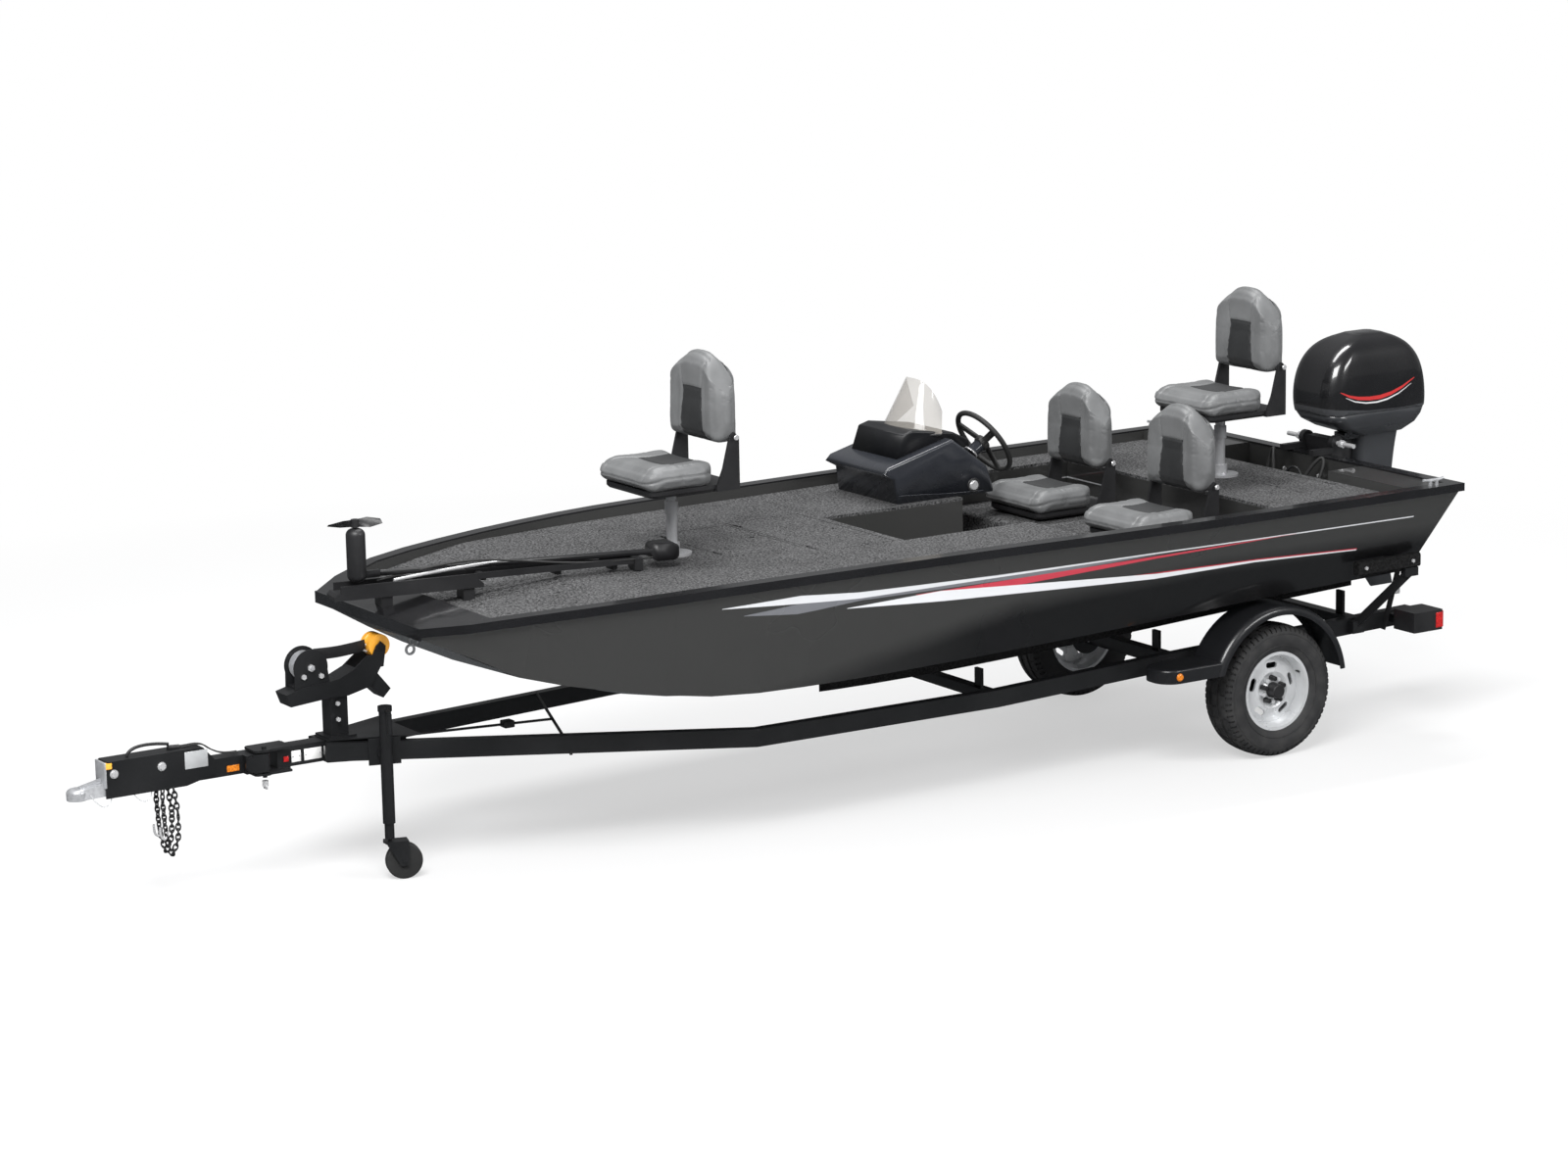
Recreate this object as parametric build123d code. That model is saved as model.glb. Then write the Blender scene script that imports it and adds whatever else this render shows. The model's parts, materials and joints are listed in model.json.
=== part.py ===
from build123d import *
from math import atan, atan2, cos, degrees, pi, radians, sin, tan
import os

# Bass boat on its single-axle trailer. Millimetres, +Z up, bow towards -Y, port side +X.
# Lengths along the boat are counted aft from the front edge of the nose, heights from the floor.
# At the end everything is moved along Y so that the origin is under the middle of the whole length.

# Lengths along the hull, from the nose aft
NOSE_END = 262           # aft edge of the black nose cap
BOW_SLOPE_END = 900      # the front deck slopes up to here
FRONT_DECK_L = 2530      # nose to cockpit
COCKPIT_L = 1800
REAR_DECK_L = 645
WELL_L = 275             # splash well and transom
COCKPIT_FRONT = FRONT_DECK_L
COCKPIT_BACK = COCKPIT_FRONT + COCKPIT_L
WELL_FRONT = COCKPIT_BACK + REAR_DECK_L
HULL_LENGTH = WELL_FRONT + WELL_L

# Hull sizes
SHEER_CAP = 8            # thickness of the black cap on the gunwale
GUNWALE_WIDTH = 62       # flat top of the gunwale, inwards from the sheer
GUNWALE_LIP = 30         # how far the cap turns down outside the hull
LIP_OUT = 10             # how far that lip stands out
NOSE_LIP = 44            # height of the nose cap's front lip
CHINE_FLAT = 30          # width of the flat ledge along each chine
CHINE_LIFT = 4
TRANSOM_RAKE = 12        # degrees, top edge aft
TRANSOM_T = 55
TRANSOM_CAP = 67         # width of the cap on the transom
DECK_Z = 1195            # top of the carpeted decks
DECK_T = 14              # deck panel thickness
DECK_DROP = 45           # deck below the sheer at the nose
FIT = 2                  # gap round loose panels
FLOOR_Z = 800
FLOOR_T = 12
COCKPIT_HALF = 810       # half width of the wide part of the cockpit, inside the hull at floor height
WALK_STARBOARD = -300    # the walk-through passes between the console side and the port locker
WALK_PORT = 380
SEAT_BOX_L = 740
SEAT_BOX_H = 240         # above the floor
SEAT_BOX_ROUND = 20
SEAT_BOX_FRONT = COCKPIT_BACK - SEAT_BOX_L
SEAT_BOX_TOP = FLOOR_Z + SEAT_BOX_H
WELL_HALF = 430
WELL_DEPTH = 235
WELL_FLOOR = DECK_Z - WELL_DEPTH
ROW_STEP = 220           # greatest distance between the hull's sections
SKY = 2000               # above everything, for cuts that are open at the top
FAR = 7000               # beyond everything, for cuts that run right through

# Bow and stern eyes, cleats
EYE_R = 20               # middle of the eye's bar
EYE_BAR = 5
EYE_OUT = 23             # centre of each eye from the hull
EYE_FROM_NOSE = 196
STERN_EYE_X = 700
STERN_EYE_Z = 880
CLEAT_FROM_STERN = 160

# Console, counted from its front edge, and the steering wheel
CONSOLE_X0 = -860
CONSOLE_X1 = -345
CONSOLE_FRONT = COCKPIT_FRONT + 380
CONSOLE_L = 638
CONSOLE_H = 277          # top above the deck
CONSOLE_BACK = CONSOLE_FRONT + CONSOLE_L
CONSOLE_LEGROOM = CONSOLE_FRONT + 420   # the foot space under the wheel starts here
LOCKER_END = CONSOLE_LEGROOM - 100
# side outline of the console, from its foot over the top: y from the front edge, z above the deck
CONSOLE_SIDE = [(75, 0), (60, 118), (0, 150), (30, 180), (398, CONSOLE_H), (474, 222), (597, 129),
                (CONSOLE_L, 16), (CONSOLE_L - 12, 0)]
CONSOLE_ROUND = 14
CONSOLE_WALL = 60        # beside the knee opening
KNEE_H = 110
# the same for the hood that stands on it
HOOD_SIDE = [(112, 120), (112, 190), (160, 318), (210, 332), (450, 298), (530, 258), (540, 225)]
HOOD_INSET = 66          # of the hood from the console's sides
HOOD_ROUND = 10
SHIELD_R = 330           # radius of the windshield at its foot
SHIELD_LEAN = 31         # degrees
SHIELD_T = 5
SHIELD_FRONT = 206       # its foot, from the console's front edge
SHIELD_FOOT = 300        # above the deck
SHIELD_H = 240
SHIELD_HALF = 190
STEER_X = -560
STEER_Y = CONSOLE_BACK + 94
STEER_Z = 1398
STEER_R = 172
STEER_RIM_R = 13
STEER_HUB_R = 38
STEER_HUB_T = 28
STEER_TILT = 32          # degrees, the rim's top leans forward
COLUMN_R = 32
COLUMN_L = 160
COLUMN_GAP = 6

# Hull sections, from the nose aft: y, half beam and height at the sheer, half width and height
# at the chine, height of the keel
STATIONS = [
    (0, 480, 1138, 445, 1095, 1070),
    (160, 620, 1160, 520, 1020, 982),
    (400, 750, 1190, 600, 900, 868),
    (800, 860, 1212, 680, 800, 728),
    (1250, 935, 1230, 735, 722, 592),
    (1700, 985, 1240, 770, 706, 520),
    (COCKPIT_FRONT, 1024, 1243, 778, 712, 483),
    (SEAT_BOX_FRONT, 1071, 1241, 780, 740, 518),
    (COCKPIT_BACK, 1084, 1240, 782, 769, 551),
    (HULL_LENGTH, 1090, 1240, 782, 790, 600),
]

# Hatch lids: name, starboard edge, port edge, front edge, back edge, hinge at the front edge
LID_SEAM = COCKPIT_FRONT - 443
LIDS = [
    ("lid_front_a", -430, 210, LID_SEAM - 397, LID_SEAM - 7, True),
    ("lid_front_b", -460, 360, LID_SEAM + 8, LID_SEAM + 403, True),
    ("lid_aft", 130, 600, WELL_FRONT - 305, WELL_FRONT - 45, False),
]
LID_GAP = 6
LID_T = 20
LID_LEDGE = 20           # the deck's opening is this much wider than the stowage under it
LID_WELL = 160           # depth of the stowage under each lid
HINGE_R = 5
HINGE_UP = 3             # hinge bead above the deck
HINGE_HALF = 35
HINGE_INSET = 90
LATCH_R = 16
LATCH_INSET = 55

# Seats: the two pedestal seats turn on posts, the two cockpit seats sit on the seat box
PEDESTAL_X = 0
FRONT_PEDESTAL_Y = LIDS[0][3] - 160
REAR_PEDESTAL_Y = COCKPIT_BACK + 325
PEDESTAL_TOP = 1500
PEDESTAL_R = 24
PEDESTAL_FOOT_R = 88
SPIGOT_R = 12
SPIGOT_L = 19            # above the post
PIN_FIT = 0.05           # radial gap of pins and shafts in their bores
SEAT_HALF = 228
SEAT_FRONT = 245
SEAT_BACK = 165
PAN_T = 30
PAN_INSET = 18
CUSHION_T = 112
BACK_HALF = 205
BACK_H = 370
BACK_T = 78
BACK_SHELL_T = 42
BACK_HINGE_UP = 236      # backrest hinge above the underside of the pan
BACK_HINGE_AFT = 200
BACK_PIN_R = 6
COCKPIT_SEAT_X = 400
COCKPIT_SEAT_Y = SEAT_BOX_FRONT + 335
SOFT_GAP = 1.0
PLINTH_T = 14            # plate under each cockpit seat

# Trailer
RAIL_X = 620             # centre of each main rail
RAIL_W = 50
RAIL_H = 80
TYRE_R = 318
TYRE_W = 200
RIM_R = 183              # seat of the tyre's bead
FLANGE_R = 196
RIM_HALF = 76            # half width of the rim over its flanges
FLANGE_T = 6
DISC_X = 26              # face of the wheel disc, outwards from the wheel's middle
HUB_BORE = 18
LUG_CIRCLE_R = 57.15
LUG_R = 10
WHEEL_SLOTS = 5
SLOT_R = 118             # middle of each slot from the wheel's centre
SLOT_L = 64
SLOT_W = 26
WHEEL_X = 765            # middle plane of each wheel
AXLE_TO_STERN = 920
WHEEL_Y = HULL_LENGTH - AXLE_TO_STERN
AXLE_HALF_SIDE = 28
AXLE_STUB = 60           # spindle beyond the wheel's middle
BRAKE_R = 90
SPRING_HALF = 340
SPRING_T = 12
FENDER_CENTRE_Y = WHEEL_Y - 25
FENDER_CENTRE_Z = TYRE_R + 17
FENDER_CLEAR = 87        # between tyre and fender
FENDER_R = TYRE_R + FENDER_CLEAR
FENDER_T = 5
FENDER_LIP = 26          # how far its edges turn inwards
FENDER_IN = RAIL_X + RAIL_W / 2 + 55
FENDER_OUT = WHEEL_X + TYRE_W / 2 + 40
FENDER_ROUND = 30
STEP_Z = 455
STEP_H = 65
STEP_L = 350
STEP_ROUND = 90
BUNK_X = 430
BUNK_W = 90
BUNK_T = 40
BUNK_CLEAR = 2
BUNK_FRONT = 2050
BUNK_BACK = HULL_LENGTH - 160
COUPLER_TIP = -1420
COUPLER_L = 170
HINGE_Y = -545           # hinge of the swinging tongue
HINGE_X = 58
HINGE_PIN_R = 10
TONGUE_W = 80
TONGUE_H = 88
TONGUE_TOP = 612
ACTUATOR_L = 440
ACTUATOR_UP = 60
SOCKET_R = 26
# main rail from the tongue aft: y, x of the rail's centre, height of its top
RAIL_PATH = [
    (-260, 62, TONGUE_TOP - 2),
    (1560, RAIL_X, 510),
    (2850, RAIL_X, 498),
    (3800, RAIL_X, 529),
    (HULL_LENGTH + 80, RAIL_X, 562),
]
CROSSMEMBERS = [2900, WHEEL_Y - 400, HULL_LENGTH - 190]
CROSS_H = 50             # the crossmembers reach this far above the rails' undersides
POST_Y = -176            # middle of the winch post
POST_HALF = 41
POST_T = 8
# side outline of the winch stand's head: y from the post's middle, z
HEAD_SIDE = [(-231, 783), (-251, 838), (-171, 858), (0, 874), (69, 904), (140, 958), (214, 950),
             (206, 909), (151, 822), (41, 796), (-44, 798)]
STOP_SIDE = [(171, 893), (248, 797), (211, 760), (145, 823)]
HEAD_HALF = 54
ROLLER_Y = 28
ROLLER_Z = 990
ROLLER_R = 50
ROLLER_HALF = 40
ROLLER_PIN_R = 9
WINCH_Y = POST_Y - 128
WINCH_Z = 940
WINCH_R = 80
WINCH_HALF = 48
DRUM_R = 26
DRUM_FLANGE_R = 62
WINCH_SHAFT_R = 8
CRANK_X = -84            # plane of the crank arm
CRANK_L = 190
JACK_WHEEL_R = 80
LIGHT_IN = 750           # inner side of each tail light box
LIGHT_OUT = 905
LIGHT_Y = HULL_LENGTH - 130
LIGHT_L = 180
LIGHT_Z = 498
LIGHT_H = 98
GUIDE_PAD_IN = 892       # inner face of each guide pad
GUIDE_PAD_T = 40
GUIDE_PAD_Y = HULL_LENGTH - 505
GUIDE_PAD_L = 385
GUIDE_PAD_Z = 832
GUIDE_PAD_H = 68

# Outboard motor
MOTOR_TILT_Y = HULL_LENGTH + 40
MOTOR_TILT_Z = 1300
MOTOR_STEER_Y = MOTOR_TILT_Y + 150
TILT_TUBE_R = 18
TILT_EYE_R = 36          # round ends of the clamp arms about the tilt tube
CLAMP_IN = 96            # inner face of each clamp arm
CLAMP_T = 32
STEER_PIN_R = 14
STEER_TUBE_R = 34
SWIVEL_LOW = 1000
SWIVEL_HIGH = 1284
# sections of the cowl and of the grey lower cowl: z, front and back from the steering axis, half width,
# corner radius
COWL_SECTIONS = [(1440, -225, 420, 170, 90), (1520, -233, 418, 176, 92), (1620, -216, 400, 175, 90),
                 (1670, -196, 382, 169, 86), (1740, -142, 334, 150, 74), (1788, -62, 268, 114, 56),
                 (1815, 30, 200, 66, 32)]
TRAY_SECTIONS = [(1440, -222, 417, 168, 88), (1400, -190, 402, 160, 80), (1358, -108, 372, 138, 60),
                 (1312, 28, 332, 80, 44)]
LEG_SECTIONS = [(1330, 60, 320, 62, 40), (1200, 56, 296, 56, 38), (1060, 62, 284, 48, 34),
                (930, 64, 276, 40, 30), (820, 58, 268, 36, 28)]
STRUT_SECTIONS = [(822, 62, 250, 28, 22), (760, 70, 236, 22, 18), (680, 66, 226, 26, 20)]
PROP_Z = 665
PROP_Y = MOTOR_STEER_Y + 362
PROP_R = 138
PROP_PITCH = 430
PROP_SHAFT_R = 10
PROP_HUB_R = 36
# propeller blade: radius, chord, thickness
PROP_BLADE = [(22, 62, 12), (80, 104, 8), (PROP_R, 56, 3)]
GEAR_R = 46
SKEG_H = 150
PLATE_HALF = 95

# Electric bow motor, lying on its mount
BOW_MOTOR_YAW = 10       # degrees towards port, seen going aft
BOW_MOTOR_X = -25
BOW_MOTOR_Z = 1200
BOW_POD_R = 42
BOW_SHAFT_R = 14
BOW_PROP_PITCH = 300
BOW_BLADE = [(11, 34, 7), (60, 60, 5), (118, 40, 3)]



def slopes(rows):
    """Slope of every column at every station, from the stations on both sides."""
    result = []
    for index in range(len(rows)):
        before, after = rows[max(index - 1, 0)], rows[min(index + 1, len(rows) - 1)]
        result.append([(b - a) / (after[0] - before[0]) for a, b in zip(before, after)])
    return result


def smooth_rows(rows, step):
    """The stations with further rows between them, on a smooth curve through them all."""
    slope, result = slopes(rows), []
    for low, high, rise_low, rise_high in zip(rows, rows[1:], slope, slope[1:]):
        length = high[0] - low[0]
        count = max(1, round(length / step))
        for index in range(count):
            t = index / count
            blend = (2 * t ** 3 - 3 * t ** 2 + 1, t ** 3 - 2 * t ** 2 + t, 3 * t ** 2 - 2 * t ** 3, t ** 3 - t ** 2)
            result.append(tuple(blend[0] * a + blend[1] * length * ra + blend[2] * b + blend[3] * length * rb
                                for a, b, ra, rb in zip(low, high, rise_low, rise_high)))
    return result + [rows[-1]]


ROWS = smooth_rows(STATIONS, ROW_STEP)


def table_at(rows, y, column):
    """Value of a column at distance y, by straight lines between the table's rows."""
    for low, high in zip(rows, rows[1:]):
        if y <= high[0]:
            share = (y - low[0]) / (high[0] - low[0])
            return low[column] + share * (high[column] - low[column])
    return rows[-1][column]


def half_beam(y):
    """Half width of the hull at the sheer."""
    return table_at(ROWS, y, 1)


def sheer(y):
    """Height of the hull's upper edge."""
    return table_at(ROWS, y, 2)


def bottom_z(x, y):
    """Height of the hull's bottom at x from the centre, between keel and chine."""
    chine_x, chine_z, keel = (table_at(ROWS, y, column) for column in (3, 4, 5))
    return keel + (chine_z - keel) * min(abs(x), chine_x) / chine_x


def rail_top(y):
    """Height of the main rails' tops."""
    return table_at(RAIL_PATH, y, 2)


def rows_between(y0, y1):
    """Distances of the hull's sections from y0 to y1, both included."""
    return [y0] + [row[0] for row in ROWS if y0 < row[0] < y1] + [y1]


def block(x0, x1, y0, y1, z0, z1):
    """Box between two corners."""
    return Pos((x0 + x1) / 2, (y0 + y1) / 2, (z0 + z1) / 2) * Box(x1 - x0, y1 - y0, z1 - z0)


def block_cylinder(radius, z0, z1):
    """Upright round bar on the origin between two heights."""
    return Pos(0, 0, (z0 + z1) / 2) * Cylinder(radius, z1 - z0)


def rod(start, end, radius):
    """Round bar from start to end."""
    line = Line(start, end)
    return Solid.extrude(Face(Wire([Edge.make_circle(radius, Plane(origin=start, z_dir=line % 0))])),
                         Vector(*end) - Vector(*start))


def bar(start, end, width, height):
    """Rectangular bar from start to end, its height upright."""
    along = Vector(*end) - Vector(*start)
    side = Vector(0, 0, 1).cross(along).normalized()
    plane = Plane(origin=start, x_dir=side, z_dir=along.normalized())
    return extrude(plane * Rectangle(width, height), along.length)


def section(points, y):
    """Face of a closed polygon of (x, z) points across the boat at y."""
    return make_face(Polyline(*[(x, y, z) for x, z in points], close=True))


def ruled(sections):
    """Solid through sections, straight between them."""
    return loft(sections, ruled=True)


def rounded(row, y0):
    """Face of a rounded rectangle at a height: z, front and back from y0, half width, corner radius."""
    z, front, back, half, corner = row
    return Pos(0, y0 + (front + back) / 2, z) * RectangleRounded(2 * half, back - front, corner)


def stacked(rows, y0):
    """Smooth solid through rounded rectangles above each other."""
    return loft([rounded(row, y0) for row in rows])


def blade(rows, pitch):
    """Propeller blade along +Z, for a shaft along Y: lens sections by radius, chord and thickness."""
    sections = []
    for radius, chord, thick in rows:
        place = Pos(0, 0, radius) * Rot(0, 0, degrees(atan(pitch / (2 * pi * radius))))
        a, b = (-chord / 2, 0), (chord / 2, 0)
        edges = [ThreePointArc(a, (0, thick * 0.8), b), ThreePointArc(b, (0, -thick * 0.2), a)]
        sections.append(place * make_face(edges))
    return ruled(sections)


def profile_yz(points, x0, x1):
    """Solid of a closed (y, z) outline between two x."""
    face = make_face(Polyline(*[(x0, y, z) for y, z in points], close=True))
    return extrude(face, amount=x1 - x0, dir=(1, 0, 0))


def plan(points, z0, z1):
    """Solid of a closed (x, y) outline between two heights."""
    face = make_face(Polyline(*[(x, y, z0) for x, y in points], close=True))
    return extrude(face, amount=z1 - z0, dir=(0, 0, 1))


def inside_gunwale(y0, y1, inset):
    """Plan outline inside the gunwale from y0 to y1, inset from the sheer."""
    starboard = [(-(half_beam(y) - inset), y) for y in rows_between(y0, y1)]
    return starboard + [(-x, y) for x, y in reversed(starboard)]


def both_sides(shape):
    """The shape and its mirror image across the centreline."""
    return Compound(children=[*shape.solids(), *mirror(shape, Plane.YZ).solids()])


def deck_surface(y):
    """Height of the front deck's top at y."""
    nose_z = sheer(NOSE_END) - DECK_DROP
    if y >= BOW_SLOPE_END:
        return DECK_Z
    return nose_z + (DECK_Z - nose_z) * (y - NOSE_END) / (BOW_SLOPE_END - NOSE_END)


def transom_y(z):
    """Face of the transom at height z."""
    return HULL_LENGTH - (sheer(HULL_LENGTH) - z) * tan(radians(TRANSOM_RAKE))


# Hull

def hull_body():
    """Solid hull with the deck recess, cockpit, splash well and lid stowages cut out of it."""
    sections = []
    for y, beam, top, chine_x, chine_z, keel in ROWS:
        half = [(chine_x, chine_z), (chine_x + CHINE_FLAT, chine_z + CHINE_LIFT), (beam, top)]
        sections.append(section([(0, keel)] + half + [(-x, z) for x, z in reversed(half)], y))
    body = ruled(sections)
    wide, top = 2 * COCKPIT_HALF, sheer(HULL_LENGTH)
    body -= profile_yz([(HULL_LENGTH, top), (FAR, top), (FAR, 0), (transom_y(0), 0)], -wide, wide)
    recess = profile_yz([(NOSE_END, deck_surface(NOSE_END) - DECK_T), (BOW_SLOPE_END, DECK_Z - DECK_T),
                         (WELL_FRONT, DECK_Z - DECK_T), (WELL_FRONT, SKY), (NOSE_END, SKY)], -wide, wide)
    body -= recess & plan(inside_gunwale(NOSE_END, WELL_FRONT, GUNWALE_WIDTH), 0, SKY)
    body -= block(WALK_STARBOARD, WALK_PORT, COCKPIT_FRONT, SEAT_BOX_FRONT, FLOOR_Z, SKY)
    body -= block(-COCKPIT_HALF, WALK_STARBOARD, CONSOLE_LEGROOM, SEAT_BOX_FRONT, FLOOR_Z, SKY)
    body -= block(WALK_PORT, COCKPIT_HALF, LOCKER_END, SEAT_BOX_FRONT, FLOOR_Z, SKY)
    body -= block(-COCKPIT_HALF, COCKPIT_HALF, SEAT_BOX_FRONT, COCKPIT_BACK, FLOOR_Z, SKY)
    body -= block(-WELL_HALF, WELL_HALF, WELL_FRONT, transom_y(DECK_Z) - TRANSOM_T, WELL_FLOOR, SKY)
    for _, x0, x1, y0, y1, _ in LIDS:
        body -= block(x0 + LID_LEDGE, x1 - LID_LEDGE, y0 + LID_LEDGE, y1 - LID_LEDGE, DECK_Z - LID_WELL, SKY)
    return body


def hull_sections():
    """The hull cut at the cockpit's planes, under the wells and between the front stowages, by node."""
    body = hull_body()
    stowage_z = DECK_Z - LID_WELL
    bow, cockpit, stern = (-FAR, COCKPIT_FRONT), (COCKPIT_FRONT, COCKPIT_BACK), (COCKPIT_BACK, FAR)
    cuts = {
        "hull_bow": [(-FAR, FAR, *bow, 0, stowage_z), (-FAR, FAR, -FAR, LID_SEAM, stowage_z, SKY),
                     (-FAR, FAR, LID_SEAM, COCKPIT_FRONT, stowage_z, SKY)],
        "hull_bottom": [(-FAR, FAR, *cockpit, 0, FLOOR_Z)],
        "hull_sides": [(-FAR, 0, *cockpit, FLOOR_Z, SKY), (0, FAR, *cockpit, FLOOR_Z, SKY)],
        "hull_stern": [(-FAR, FAR, *stern, 0, WELL_FLOOR), (-FAR, FAR, *stern, WELL_FLOOR, SKY)],
    }
    return {name: apart(*[body & block(*cut) for cut in blocks]) for name, blocks in cuts.items()}


def gunwale_rails():
    """Black caps along both sheers, turned down outside."""
    sections = []
    for y, beam, top, *_ in ROWS:
        inner, outer = beam - GUNWALE_WIDTH, beam + LIP_OUT
        sections.append(section([(inner, top), (inner, top + SHEER_CAP), (outer, top + SHEER_CAP),
                                 (outer, top - GUNWALE_LIP), (beam, top - GUNWALE_LIP), (beam, top)], y))
    return both_sides(ruled(sections))


def nose_cap():
    """Black plate over the nose, with its front lip."""
    sections = []
    for y in [-LIP_OUT] + rows_between(0, NOSE_END):
        half, z = half_beam(max(y, 0)) - GUNWALE_WIDTH, sheer(max(y, 0))
        sections.append(section([(-half, z), (half, z), (half, z + SHEER_CAP), (-half, z + SHEER_CAP)], y))
    half = half_beam(0) + LIP_OUT
    lip = block(-half, half, -LIP_OUT, 0, sheer(0) - NOSE_LIP, sheer(0) + SHEER_CAP)
    return ruled(sections) + lip


def transom_cap():
    """Cap across the stern, on the top of the transom."""
    half = half_beam(HULL_LENGTH) - GUNWALE_WIDTH
    top = sheer(HULL_LENGTH)
    return block(-half, half, HULL_LENGTH - TRANSOM_CAP, HULL_LENGTH, top, top + SHEER_CAP)


def front_deck():
    """Carpeted front deck, sloping down to the nose, in two panels with the lid openings."""
    front = NOSE_END + FIT
    profile = [(front, deck_surface(front) - DECK_T), (BOW_SLOPE_END, DECK_Z - DECK_T),
               (COCKPIT_FRONT, DECK_Z - DECK_T), (COCKPIT_FRONT, DECK_Z), (BOW_SLOPE_END, DECK_Z),
               (front, deck_surface(front))]
    deck = profile_yz(profile, -2 * COCKPIT_HALF, 2 * COCKPIT_HALF)
    deck = deck & plan(inside_gunwale(front, COCKPIT_FRONT, GUNWALE_WIDTH + FIT), 0, SKY)
    for _, x0, x1, y0, y1, _ in LIDS[:2]:
        deck -= block(x0, x1, y0, y1, 0, SKY)
    return apart(deck & block(-FAR, FAR, 0, LID_SEAM, 0, SKY), deck & block(-FAR, FAR, LID_SEAM, FAR, 0, SKY))


def side_deck():
    """Carpeted decks beside the cockpit: the port locker top and the starboard console shelf."""
    base = plan(inside_gunwale(COCKPIT_FRONT + FIT, COCKPIT_BACK, GUNWALE_WIDTH + FIT),
                DECK_Z - DECK_T, DECK_Z)
    base -= block(WALK_STARBOARD, WALK_PORT, 0, FAR, 0, SKY)
    base -= block(-COCKPIT_HALF, 0, CONSOLE_LEGROOM, FAR, 0, SKY)
    base -= block(0, COCKPIT_HALF, LOCKER_END, FAR, 0, SKY)
    return base


def rear_deck():
    """Carpeted rear deck with its lid opening."""
    outline = inside_gunwale(COCKPIT_BACK + FIT, WELL_FRONT - FIT, GUNWALE_WIDTH + FIT)
    _, x0, x1, y0, y1, _ = LIDS[2]
    return plan(outline, DECK_Z - DECK_T, DECK_Z) - block(x0, x1, y0, y1, 0, SKY)


def cockpit_floor():
    """Carpeted floor of the cockpit."""
    floor = block(WALK_STARBOARD, WALK_PORT, COCKPIT_FRONT, SEAT_BOX_FRONT, FLOOR_Z, FLOOR_Z + FLOOR_T)
    floor += block(-COCKPIT_HALF, WALK_STARBOARD, CONSOLE_LEGROOM, SEAT_BOX_FRONT, FLOOR_Z,
                   FLOOR_Z + FLOOR_T)
    floor += block(WALK_PORT, COCKPIT_HALF, LOCKER_END, SEAT_BOX_FRONT, FLOOR_Z, FLOOR_Z + FLOOR_T)
    return floor


def seat_box():
    """Carpeted box across the cockpit that carries the two cockpit seats."""
    box = block(-COCKPIT_HALF + FIT, COCKPIT_HALF - FIT, SEAT_BOX_FRONT + FIT, COCKPIT_BACK - FIT,
                FLOOR_Z, SEAT_BOX_TOP)
    return fillet(box.edges().filter_by(Axis.X).group_by(Axis.Z)[-1][:1], SEAT_BOX_ROUND)


def lid_hinge_point(lid):
    """Place (y, z) of a lid's hinge line."""
    y = lid[3] + LID_GAP if lid[5] else lid[4] - LID_GAP
    return y, DECK_Z + HINGE_UP


def hatch_lid(lid):
    """Carpeted lid with a frame under it and round hinge beads on its top edge."""
    _, x0, x1, y0, y1, front_hinge = lid
    x0, x1, y0, y1 = x0 + LID_GAP, x1 - LID_GAP, y0 + LID_GAP, y1 - LID_GAP
    inset = LID_LEDGE + LID_GAP
    panel = block(x0, x1, y0, y1, DECK_Z - DECK_T, DECK_Z)
    panel += block(x0 + inset, x1 - inset, y0 + inset, y1 - inset, DECK_Z - LID_T - LID_GAP, DECK_Z - DECK_T)
    y, z = lid_hinge_point(lid)
    for x in (x0 + HINGE_INSET, x1 - HINGE_INSET):
        panel += rod((x - HINGE_HALF, y, z), (x + HINGE_HALF, y, z), HINGE_R)
    latch_y = y1 - LATCH_INSET if front_hinge else y0 + LATCH_INSET
    return panel - Pos((x0 + x1) / 2, latch_y, DECK_Z) * Cylinder(LATCH_R, DECK_T - 2)


def eye():
    """Round eye of steel bar, its hole across the boat."""
    outer = rod((-EYE_BAR, 0, 0), (EYE_BAR, 0, 0), EYE_R + EYE_BAR)
    return fillet(outer.edges(), 3) - rod((-EYE_BAR, 0, 0), (EYE_BAR, 0, 0), EYE_R - EYE_BAR)


def cleat():
    """Mooring cleat: two feet under a bar with turned-up ends."""
    bar_z = 26
    shape = rod((0, -62, bar_z + 5), (0, -30, bar_z), 7) + rod((0, -30, bar_z), (0, 30, bar_z), 8) \
        + rod((0, 30, bar_z), (0, 62, bar_z + 5), 7)
    for y in (-20, 20):
        shape += Pos(0, y, 0) * block_cylinder(9, 0, bar_z)
    return shape


def deck_fittings():
    """Bow eye, two stern eyes and two stern cleats."""
    bow_y, stern_z = EYE_FROM_NOSE, STERN_EYE_Z
    bow_eye = Pos(0, bow_y, bottom_z(0, bow_y) - EYE_OUT) * eye()
    stern_eye = Pos(STERN_EYE_X, transom_y(stern_z) + EYE_OUT, stern_z) * eye()
    cleat_x = half_beam(HULL_LENGTH) - GUNWALE_WIDTH / 2
    stern_cleat = Pos(cleat_x, HULL_LENGTH - CLEAT_FROM_STERN, sheer(HULL_LENGTH) + SHEER_CAP) * cleat()
    return apart(bow_eye, both_sides(stern_eye), both_sides(stern_cleat))


# Console

def side_outline(points, y0, z0):
    """Points of a side outline moved to their place."""
    return [(y0 + y, z0 + z) for y, z in points]


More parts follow.
